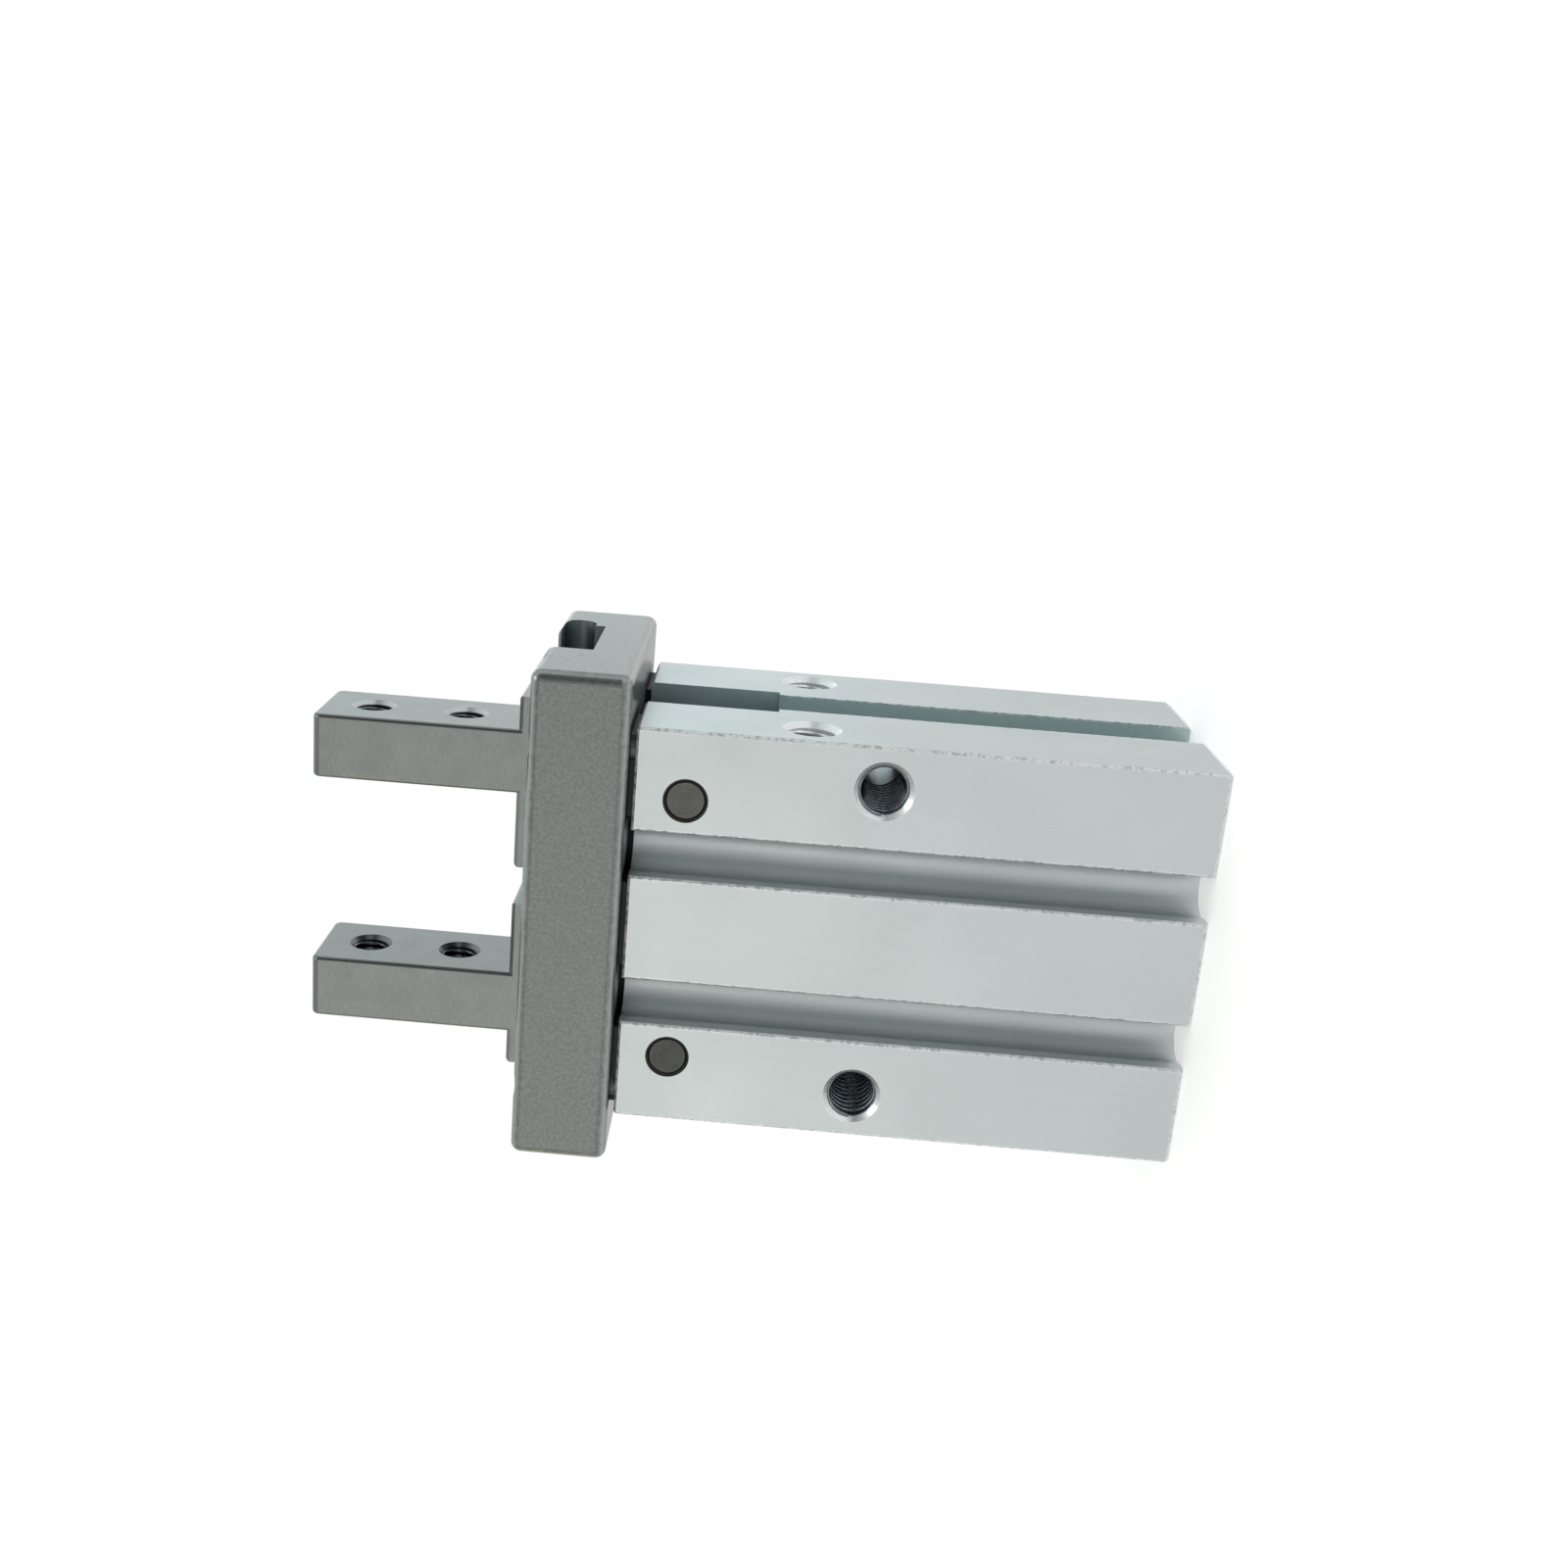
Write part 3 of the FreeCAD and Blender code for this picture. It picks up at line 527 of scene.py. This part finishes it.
def groundSteel(name, look, side=None):
    # squeeze is in lines per millimetre each way
    made, tree, skin = newFinish(name, 1.0)
    grain = useGroup(tree, fineGrain, {"Size": groundMarks["grain"], "Cloud Size": look["cloud"]})
    lines = useGroup(tree, fineLines, {"Squeeze": Vector(look["squeeze"]) / mm})["Lines"]
    tone = weighted(tree, (lines, groundMarks["lineShare"]), (grain["Cloud"], groundMarks["cloudShare"]),
                    (grain["Grain"], groundMarks["grainShare"]))
    colour = mixColours(tree, remap(tree, tone, groundMarks["toneSpan"]), look["shade"], look["colour"])
    if side:
        edge = useGroup(tree, edgeWearAndHighlight, boxValues("finger_" + side, look["edgeWidth"]))["Mask"]
        colour = mixColours(tree, maths(tree, "MULTIPLY", edge, look["edgeShare"]), colour, look["edge"])
        # painted shade on the hole walls and painted highlight on their countersink rims
        paintedShadeWalls, rims = holeMasks(tree, fingerHoles(look, side))
        colour = mixColours(tree, rims, mixColours(tree, paintedShadeWalls, colour, look["wall"]), look["rim"])
    feed(tree, colour, skin["Base Color"])
    feed(tree, remap(tree, tone, roughSpan, look["rough"][1], look["rough"][0]), skin["Roughness"])
    addRelief(tree, skin, tone, look["relief"])
    return made


shaftLook = {
    "colour": (0.112, 0.111, 0.102, 1), "shade": (0.078, 0.078, 0.072, 1), "rough": (0.30, 0.46),
    "pitch": 0.09 * mm, "metallic": 1.0, "relief": 0.004 * mm,
}
# painted shade: the second lever shaft end gets a darker copy of the same steel
shadedShaftLook = dict(shaftLook, colour=(0.082, 0.084, 0.078, 1), shade=(0.054, 0.056, 0.052, 1))
shaftLooks = {"a": shaftLook, "b": shadedShaftLook}
capLook = {
    "colour": (0.560, 0.575, 0.580, 1), "shade": (0.440, 0.455, 0.460, 1), "rough": (0.26, 0.42),
    "pitch": 0.12 * mm, "metallic": 0.95, "relief": 0.005 * mm,
}
pistonLook = {
    "colour": (0.540, 0.545, 0.530, 1), "shade": (0.430, 0.435, 0.425, 1), "rough": (0.24, 0.38),
    "pitch": 0.10 * mm, "metallic": 0.95, "relief": 0.004 * mm,
}
screwLook = {
    "colour": (0.120, 0.120, 0.126, 1), "shade": (0.070, 0.070, 0.075, 1), "rough": (0.34, 0.50),
    "pitch": 0.15 * mm, "metallic": 0.9, "relief": 0.004 * mm,
}
turnMarks = {"grain": 0.07 * mm, "cloud": 1.4 * mm, "ringShare": 0.6, "cloudShare": 0.25, "grainShare": 0.15}


def turnedMetal(name, look, centre, across):
    made, tree, skin = newFinish(name, look["metallic"])
    rings = useGroup(tree, turnRings, {"Centre": centre, "Across": across, "Pitch": look["pitch"]})["Rings"]
    grain = useGroup(tree, fineGrain, {"Size": turnMarks["grain"], "Cloud Size": turnMarks["cloud"]})
    tone = weighted(tree, (rings, turnMarks["ringShare"]), (grain["Cloud"], turnMarks["cloudShare"]),
                    (grain["Grain"], turnMarks["grainShare"]))
    colour = mixColours(tree, remap(tree, tone, toneSpan), look["shade"], look["colour"])
    feed(tree, colour, skin["Base Color"])
    feed(tree, remap(tree, tone, roughSpan, look["rough"][1], look["rough"][0]), skin["Roughness"])
    addRelief(tree, skin, tone, look["relief"])
    return made


rubberLook = {"colour": (0.016, 0.016, 0.018, 1), "shade": (0.008, 0.008, 0.009, 1), "rough": (0.48, 0.66)}
urethaneLook = {"colour": (0.420, 0.300, 0.110, 1), "shade": (0.330, 0.225, 0.075, 1), "rough": (0.30, 0.44)}
magnetLook = {"colour": (0.040, 0.036, 0.036, 1), "shade": (0.022, 0.020, 0.020, 1), "rough": (0.52, 0.70)}
mouldMarks = {
    "grain": 0.06 * mm, "grainShare": 0.45, "cloud": 0.9 * mm, "cloudShare": 0.55, "relief": 0.003 * mm,
}


def mouldedRubber(name, look):
    made, tree, skin = newFinish(name, 0.0)
    grain = useGroup(tree, fineGrain, {"Size": mouldMarks["grain"], "Cloud Size": mouldMarks["cloud"]})
    tone = weighted(tree, (grain["Grain"], mouldMarks["grainShare"]),
                    (grain["Cloud"], mouldMarks["cloudShare"]))
    colour = mixColours(tree, remap(tree, tone, toneSpan), look["shade"], look["colour"])
    feed(tree, colour, skin["Base Color"])
    feed(tree, remap(tree, grain["Grain"], roughSpan, *look["rough"]), skin["Roughness"])
    addRelief(tree, skin, grain["Grain"], mouldMarks["relief"])
    return made


springLook = {
    "colour": (0.075, 0.075, 0.082, 1), "shade": (0.040, 0.040, 0.045, 1), "bare": (0.26, 0.26, 0.27, 1),
    "bareSpan": (0.58, 0.74), "bareShare": 0.6, "rough": (0.40, 0.55), "metallic": 0.75,
    "patch": 0.25 * mm, "grain": 0.05 * mm, "cloud": 1.0 * mm, "relief": 0.003 * mm,
}


def phosphatedSteel(look):
    made, tree, skin = newFinish("phosphatedSteel", look["metallic"])
    spots = useGroup(tree, mottle, {"Size": look["patch"]})
    grain = useGroup(tree, fineGrain, {"Size": look["grain"], "Cloud Size": look["cloud"]})
    plain = mixColours(tree, spots["Patches"], look["shade"], look["colour"])
    rubbed = remap(tree, grain["Cloud"], look["bareSpan"], 0.0, look["bareShare"])
    feed(tree, mixColours(tree, rubbed, plain, look["bare"]), skin["Base Color"])
    rough = remap(tree, spots["Patches"], wholeSpan, look["rough"][1], look["rough"][0])
    feed(tree, rough, skin["Roughness"])
    addRelief(tree, skin, grain["Grain"], look["relief"])
    return made


ballLook = {
    "colour": (0.560, 0.570, 0.580, 1), "film": (0.400, 0.410, 0.420, 1), "filmSpan": (0.45, 0.7),
    "rough": (0.07, 0.16), "grain": 0.05 * mm, "cloud": 0.8 * mm, "relief": 0.0004 * mm,
}


def polishedSteel(look):
    made, tree, skin = newFinish("polishedSteel", 1.0)
    grain = useGroup(tree, fineGrain, {"Size": look["grain"], "Cloud Size": look["cloud"]})
    film = remap(tree, grain["Cloud"], look["filmSpan"])
    feed(tree, mixColours(tree, film, look["colour"], look["film"]), skin["Base Color"])
    feed(tree, remap(tree, film, wholeSpan, *look["rough"]), skin["Roughness"])
    addRelief(tree, skin, grain["Grain"], look["relief"])
    return made


acrossY = (1, 0, 1)
acrossZ = (1, 1, 0)
black = mouldedRubber("blackRubber", rubberLook)
urethane = mouldedRubber("bumperUrethane", urethaneLook)
cap = turnedMetal("turnedCap", capLook, origin, acrossZ)
screws = turnedMetal("screwSteel", screwLook, origin, acrossZ)
rail = tumbledSteel(railLook)
finishes = {
    "gripper_body": anodisedAluminium(bodyLook), "guide_rail": rail,
    "guide_gasket": black, "rod_seal": black, "cap_o_ring": black, "piston_seal": black,
    "front_bumper": urethane, "rear_bumper": urethane, "end_cap": cap,
    "piston": turnedMetal("turnedPiston", pistonLook, origin, acrossZ),
    "piston_magnet": mouldedRubber("magnetRubber", magnetLook), "snap_ring": phosphatedSteel(springLook),
    "guide_screws": screws, "guide_dowels": screws, "stop_plate_a": rail, "stop_plate_b": rail,
}
ballFinish = polishedSteel(ballLook)
for side in "ab":
    shaft = "lever_shaft_" + side
    low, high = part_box(shaft)
    finishes[shaft] = turnedMetal("shaftSteel_" + side, shaftLooks[side], (low + high) / 2, acrossY)
    finishes["finger_" + side] = groundSteel("fingerSteel_" + side, fingerLook, side)
    finishes["lever_" + side] = groundSteel("leverSteel_" + side, leverLook)
    finishes["ball_row_" + side] = ballFinish
for name, finish in finishes.items():
    for slot in nodes[name].material_slots:
        slot.material = finish
print("finishes on", len(finishes), "of", len(nodes), "nodes")


# threads, as ridges that stand in from the wall of each hole

# the thread colours are painted: the darker ones stand for the shade inside the holes, the pale one for the
# highlight in the shallow side holes
cutLooks = {
    "paintedShadeAluminium": {"colour": (0.27, 0.30, 0.32, 1), "shade": (0.17, 0.20, 0.22, 1), "rough": (0.22, 0.36)},
    "paintedShadeSteel": {"colour": (0.21, 0.225, 0.23, 1), "shade": (0.10, 0.11, 0.115, 1), "rough": (0.20, 0.32)},
    "paintedHighlightAluminium": {"colour": (0.86, 0.88, 0.88, 1), "shade": (0.66, 0.69, 0.69, 1),
                        "rough": (0.26, 0.40)},
}
cutMarks = {"grain": 0.05 * mm, "cloud": 0.5 * mm, "relief": 0.002 * mm}


def cutThread(name, look):
    made, tree, skin = newFinish(name, 1.0)
    grain = useGroup(tree, fineGrain, {"Size": cutMarks["grain"], "Cloud Size": cutMarks["cloud"]})
    share = remap(tree, grain["Cloud"], toneSpan)
    feed(tree, mixColours(tree, share, look["shade"], look["colour"]), skin["Base Color"])
    feed(tree, remap(tree, grain["Grain"], roughSpan, *look["rough"]), skin["Roughness"])
    addRelief(tree, skin, grain["Grain"], cutMarks["relief"])
    return made


cutMetals = {name: cutThread(name, look) for name, look in cutLooks.items()}


def turnedTo(spot, way):
    return Matrix.Translation(spot) @ Vector(way).to_track_quat("Z", "Y").to_matrix().to_4x4()


def placeMesh(name, shape, body, finish):
    mesh = bpy.data.meshes.new(name)
    shape.to_mesh(mesh)
    shape.free()
    mesh.shade_smooth()
    piece = bpy.data.objects.new(name, mesh)
    bpy.context.scene.collection.objects.link(piece)
    mesh.materials.append(finish)
    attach(piece, body)
    return piece


threadForms = {
    "M3": {"pitch": 0.5 * mm, "crest": 1.235 * mm},
    "M4": {"pitch": 0.7 * mm, "crest": 1.63 * mm},
    "M5": {"pitch": 0.8 * mm, "crest": 2.075 * mm},
}
ridge = {"stepsPerTurn": 28, "sunk": 0.02 * mm, "rootShare": 0.36, "crestShare": 0.07, "fadeTurns": 0.6}


def fadeEnds(shape, pitch, wall, root, length):
    fade = ridge["fadeTurns"] * pitch
    for vert in shape.verts:
        radius = math.hypot(vert.co.x, vert.co.y)
        share = min(vert.co.z + pitch / 2, length + pitch / 2 - vert.co.z) / fade
        if radius < wall and share < 1:
            faded = root + (radius - root) * max(share, 0.0)
            vert.co.x *= faded / radius
            vert.co.y *= faded / radius


def thread(name, form, mouth, inward, wall, length, body, metal):
    # the ridge climbs from the mouth along inward; its ends fade into the wall
    pitch = threadForms[form]["pitch"]
    crest = threadForms[form]["crest"]
    root = wall + ridge["sunk"]
    steps = int(length / pitch * ridge["stepsPerTurn"])
    turn = 2 * math.pi / ridge["stepsPerTurn"]
    climb = Vector((0, 0, pitch / ridge["stepsPerTurn"]))
    outline = [(root, -ridge["rootShare"]), (crest, -ridge["crestShare"]),
               (crest, ridge["crestShare"]), (root, ridge["rootShare"])]
    shape = bmesh.new()
    ring = [shape.verts.new((radius, 0, share * pitch)) for radius, share in outline]
    edges = [shape.edges.new((ring[k], ring[(k + 1) % len(ring)])) for k in range(len(ring))]
    bmesh.ops.spin(shape, geom=ring + edges, cent=origin, axis=(0, 0, 1), dvec=climb,
                   angle=turn * steps, steps=steps)
    ends = [edge for edge in shape.edges if edge.is_boundary]
    bmesh.ops.holes_fill(shape, edges=ends, sides=len(outline))
    fadeEnds(shape, pitch, wall, root, length)
    bmesh.ops.recalc_face_normals(shape, faces=shape.faces)
    bmesh.ops.transform(shape, matrix=turnedTo(mouth, inward), verts=shape.verts)
    return placeMesh(name, shape, body, cutMetals[metal])


bodyThreads = {"sink": 0.45 * mm, "throughDepth": 7.6 * mm, "rearDepth": 6.6 * mm, "sideDepth": 5.1 * mm}
portThread = {"sink": 0.5 * mm, "depth": 3.9 * mm}
fingerThread = {"sink": 0.38 * mm, "thick": 5.0 * mm}


def bodyThread(name, form, face, inward, wall, sink, depth, metal="paintedShadeAluminium"):
    start = Vector(face) + Vector(inward) * sink
    return thread(name, form, start, inward, wall, depth - sink, "housing", metal)


def makeBodyThreads():
    made = []
    sink = bodyThreads["sink"]
    front = mounts["front_threads"]
    rear = mounts["rear_threads"]
    edge = mounts["side_threads"]
    wall = holeRadius(front)
    for face, way in (("front", -1), ("back", 1)):
        spot = (bodyHigh.x, way * halfPitch(edge, "x"), edge["pos_m"][2])
        made.append(bodyThread("thread_side_" + face, "M4", spot, (-1, 0, 0), wall, sink,
                               bodyThreads["sideDepth"], "paintedHighlightAluminium"))
    for side, sign in (("a", 1), ("b", -1)):
        for face, y, inward in (("front", bodyLow.y, (0, 1, 0)), ("back", bodyHigh.y, (0, -1, 0))):
            spot = (sign * halfPitch(front, "x"), y, front["pos_m"][2])
            made.append(bodyThread("thread_" + face + "_" + side, "M4", spot, inward, wall, sink,
                                   bodyThreads["throughDepth"]))
        spot = (sign * halfPitch(rear, "x"), 0, bodyLow.z)
        made.append(bodyThread("thread_rear_" + side, "M4", spot, (0, 0, 1), wall, sink,
                               bodyThreads["rearDepth"]))
    for port in ("opening_port", "closing_port"):
        spot = Vector(mounts[port]["pos_m"])
        spot.x = bodyLow.x
        made.append(bodyThread("thread_" + port, "M5", spot, (1, 0, 0), mounts[port]["dims"]["r_mm"] * mm,
                               portThread["sink"], portThread["depth"]))
    return made


def makeFingerThreads():
    made = []
    length = fingerThread["thick"] - 2 * fingerThread["sink"]
    for side, sign in (("a", 1), ("b", -1)):
        mount = mounts["finger_" + side + "_threads"]
        for hole, way in (("tip", 1), ("root", -1)):
            mouth = Vector(mount["pos_m"]) + Vector((0, 0, way * halfPitch(mount, "y")))
            mouth.x -= sign * fingerThread["sink"]
            made.append(thread("thread_finger_" + side + "_" + hole, "M3", mouth, (-sign, 0, 0),
                               holeRadius(mount), length, "finger_" + side, "paintedShadeSteel"))
    return made


threads = makeBodyThreads() + makeFingerThreads()
print("threads:", len(threads))


# black rings in the ring gap round each lever shaft end, as painted shade for the dark gap

gapShadeRing = {
    "gap": 0.15 * mm, "top": 0.10 * mm, "dip": 0.06 * mm, "outerDip": 0.02 * mm, "depth": 0.58 * mm,
    "steps": 48, "weld": 0.0001 * mm,
}


def shaftGapShade(name, shaft, face, inward):
    low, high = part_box(shaft)
    radius = (high.x - low.x) / 2
    middle = radius + gapShadeRing["gap"] / 2
    outer = radius + gapShadeRing["gap"]
    top = gapShadeRing["top"]
    outline = [(radius, gapShadeRing["depth"]), (radius, top), (middle, top + gapShadeRing["dip"]),
               (outer, top + gapShadeRing["outerDip"]), (outer, gapShadeRing["depth"])]
    shape = bmesh.new()
    loop = [shape.verts.new((across, 0, depth)) for across, depth in outline]
    edges = [shape.edges.new((loop[k], loop[(k + 1) % len(loop)])) for k in range(len(loop))]
    bmesh.ops.spin(shape, geom=loop + edges, cent=origin, axis=(0, 0, 1), angle=2 * math.pi,
                   steps=gapShadeRing["steps"], use_merge=True)
    bmesh.ops.remove_doubles(shape, verts=shape.verts, dist=gapShadeRing["weld"])
    bmesh.ops.recalc_face_normals(shape, faces=shape.faces)
    spot = Vector(((low.x + high.x) / 2, face, (low.z + high.z) / 2))
    bmesh.ops.transform(shape, matrix=turnedTo(spot, inward), verts=shape.verts)
    return placeMesh(name, shape, "housing", black)


for side in "ab":
    shaftGapShade("shaft_gap_shade_" + side + "_front", "lever_shaft_" + side, bodyLow.y, (0, 1, 0))
    shaftGapShade("shaft_gap_shade_" + side + "_back", "lever_shaft_" + side, bodyHigh.y, (0, -1, 0))
# the black rings are painted shade in the gaps
print("shaft bond rings in place")


# stage, light and camera

stage = {
    "floorSize": 4.0, "floorColour": (0.875, 0.875, 0.872, 1), "cloudColour": (1, 1, 1, 1), "cloudScale": 30,
    "cloudShare": 0.04, "rough": 0.7, "glow": 0.34, "drop": 0.05 * mm, "shadowSpan": (0.022, 0.085),
}


def mixShaders(tree, share, first, second):
    made = addNode(tree, "ShaderNodeMixShader", {"Fac": share})
    tree.links.new(first.outputs[0], made.inputs[1])
    tree.links.new(second.outputs[0], made.inputs[2])
    return made


def paleFloor():
    made, tree, skin = newFinish("paleFloor", 0.0, stage["rough"])
    place = objectPlace(tree)
    cloud = maths(tree, "MULTIPLY", noise(tree, place, stage["cloudScale"]), stage["cloudShare"])
    feed(tree, mixColours(tree, cloud, stage["floorColour"], stage["cloudColour"]), skin["Base Color"])
    rays = addNode(tree, "ShaderNodeLightPath").outputs
    seen = maths(tree, "MAXIMUM", rays["Is Camera Ray"], rays["Is Transmission Ray"])
    glow = addNode(tree, "ShaderNodeEmission", {"Strength": maths(tree, "MULTIPLY", seen, stage["glow"])})
    lit = addNode(tree, "ShaderNodeAddShader")
    tree.links.new(tree.nodes["Principled BSDF"].outputs[0], lit.inputs[0])
    tree.links.new(glow.outputs[0], lit.inputs[1])
    # past the shadow the floor runs out into the plain white behind it, which the metal mirrors everywhere
    away = remap(tree, vectors(tree, "LENGTH", place), stage["shadowSpan"])
    share = maths(tree, "MAXIMUM", maths(tree, "MULTIPLY", seen, away), rays["Is Glossy Ray"])
    spread = mixShaders(tree, share, lit, addNode(tree, "ShaderNodeEmission"))
    # clear from below, so that the rear face can be looked at
    below = addNode(tree, "ShaderNodeNewGeometry").outputs["Backfacing"]
    oneSided = mixShaders(tree, below, spread, addNode(tree, "ShaderNodeBsdfTransparent"))
    tree.links.new(oneSided.outputs[0], tree.nodes["Material Output"].inputs["Surface"])
    return made


def makeFloor():
    shape = bmesh.new()
    bmesh.ops.create_grid(shape, x_segments=1, y_segments=1, size=stage["floorSize"] / 2)
    bmesh.ops.translate(shape, vec=(0, 0, bodyLow.z - stage["drop"]), verts=shape.verts)
    mesh = bpy.data.meshes.new("floor")
    shape.to_mesh(mesh)
    shape.free()
    mesh.materials.append(paleFloor())
    floor = bpy.data.objects.new("floor", mesh)
    bpy.context.scene.collection.objects.link(floor)


# a room with a white wall behind the gripper, a grey one in front, a pale one at -X and an unlit corner
surround = {
    "seen": (1, 1, 1, 1), "behind": (0.93, 1.0, 1.01, 1), "front": (0.68, 0.68, 0.662, 1),
    "unlit": (0.04, 0.062, 0.070, 1), "side": (0.80, 0.83, 0.80, 1), "warm": (0.87, 0.82, 0.70, 1),
    "frontToBehind": (-0.50, 0.30), "frontToSide": (-0.20, -0.60), "sideToWarm": (-0.64, -0.86),
    "corner": (0.72, -0.69, 0.05), "cornerEdge": (0.79, 0.94),
}


def makeWorld():
    world = bpy.data.worlds.new("studio")
    world.use_nodes = True
    tree = world.node_tree
    way = addNode(tree, "ShaderNodeTexCoord").outputs["Generated"]
    along = axes(tree, way)
    behind = remap(tree, along["Y"], surround["frontToBehind"])
    side = remap(tree, along["X"], surround["frontToSide"])
    warm = remap(tree, along["X"], surround["sideToWarm"])
    corner = remap(tree, vectors(tree, "DOT_PRODUCT", way, surround["corner"]), surround["cornerEdge"])
    room = mixColours(tree, behind, surround["front"], surround["behind"])
    room = mixColours(tree, side, room, surround["side"])
    room = mixColours(tree, warm, room, surround["warm"])
    room = mixColours(tree, corner, room, surround["unlit"])
    rays = addNode(tree, "ShaderNodeLightPath").outputs
    seen = maths(tree, "MAXIMUM", rays["Is Camera Ray"], rays["Is Transmission Ray"])
    feed(tree, mixColours(tree, seen, room, surround["seen"]), tree.nodes["Background"].inputs["Color"])
    bpy.context.scene.world = world


lamps = {
    "key": {"place": (0.10, -0.16, 0.46), "size": 0.20, "watts": 0.35, "colour": (1.0, 0.99, 0.97)},
    "front": {"place": (-0.20, -0.44, 0.08), "size": 0.40, "watts": 0.39, "colour": (1.0, 0.975, 0.945)},
    "back": {"place": (0.15, 0.45, 0.08), "size": 0.40, "watts": 0.20, "colour": (0.88, 0.98, 1.0)},
}


def makeLamps(aim):
    for name, lamp in lamps.items():
        light = bpy.data.lights.new(name, "AREA")
        light.size = lamp["size"]
        light.energy = lamp["watts"]
        light.color = lamp["colour"]
        holder = bpy.data.objects.new(name, light)
        holder.location = lamp["place"]
        holder.rotation_euler = (aim - Vector(lamp["place"])).to_track_quat("-Z", "Y").to_euler()
        bpy.context.scene.collection.objects.link(holder)


# the gripper lies on its side in the picture: its opening way, +X, points up
photoView = {
    "place": Vector((46.114, -128.434, 34.124)) * mm, "ahead": (-0.29982, 0.95342, 0.03302),
    "up": (0.95151, 0.29636, 0.08247), "lens": 39.30, "sensor": 36.0, "shift": (0.0625, 0.01875),
    "clip": 1 * mm,
}


def makeCamera():
    data = bpy.data.cameras.new("photoCamera")
    data.lens = photoView["lens"]
    data.sensor_width = photoView["sensor"]
    data.shift_x, data.shift_y = photoView["shift"]
    data.clip_start = photoView["clip"]
    ahead = Vector(photoView["ahead"]).normalized()
    right = ahead.cross(Vector(photoView["up"])).normalized()
    up = right.cross(ahead)
    camera = bpy.data.objects.new("photoCamera", data)
    turned = Matrix((right, up, -ahead)).transposed().to_4x4()
    camera.matrix_world = Matrix.Translation(photoView["place"]) @ turned
    bpy.context.scene.collection.objects.link(camera)
    bpy.context.scene.camera = camera


makeFloor()
makeWorld()
makeLamps((cadBox[0] + cadBox[1]) / 2)
makeCamera()
bpy.context.scene.view_settings.view_transform = "Standard"
print("stage, lamps and camera ready")
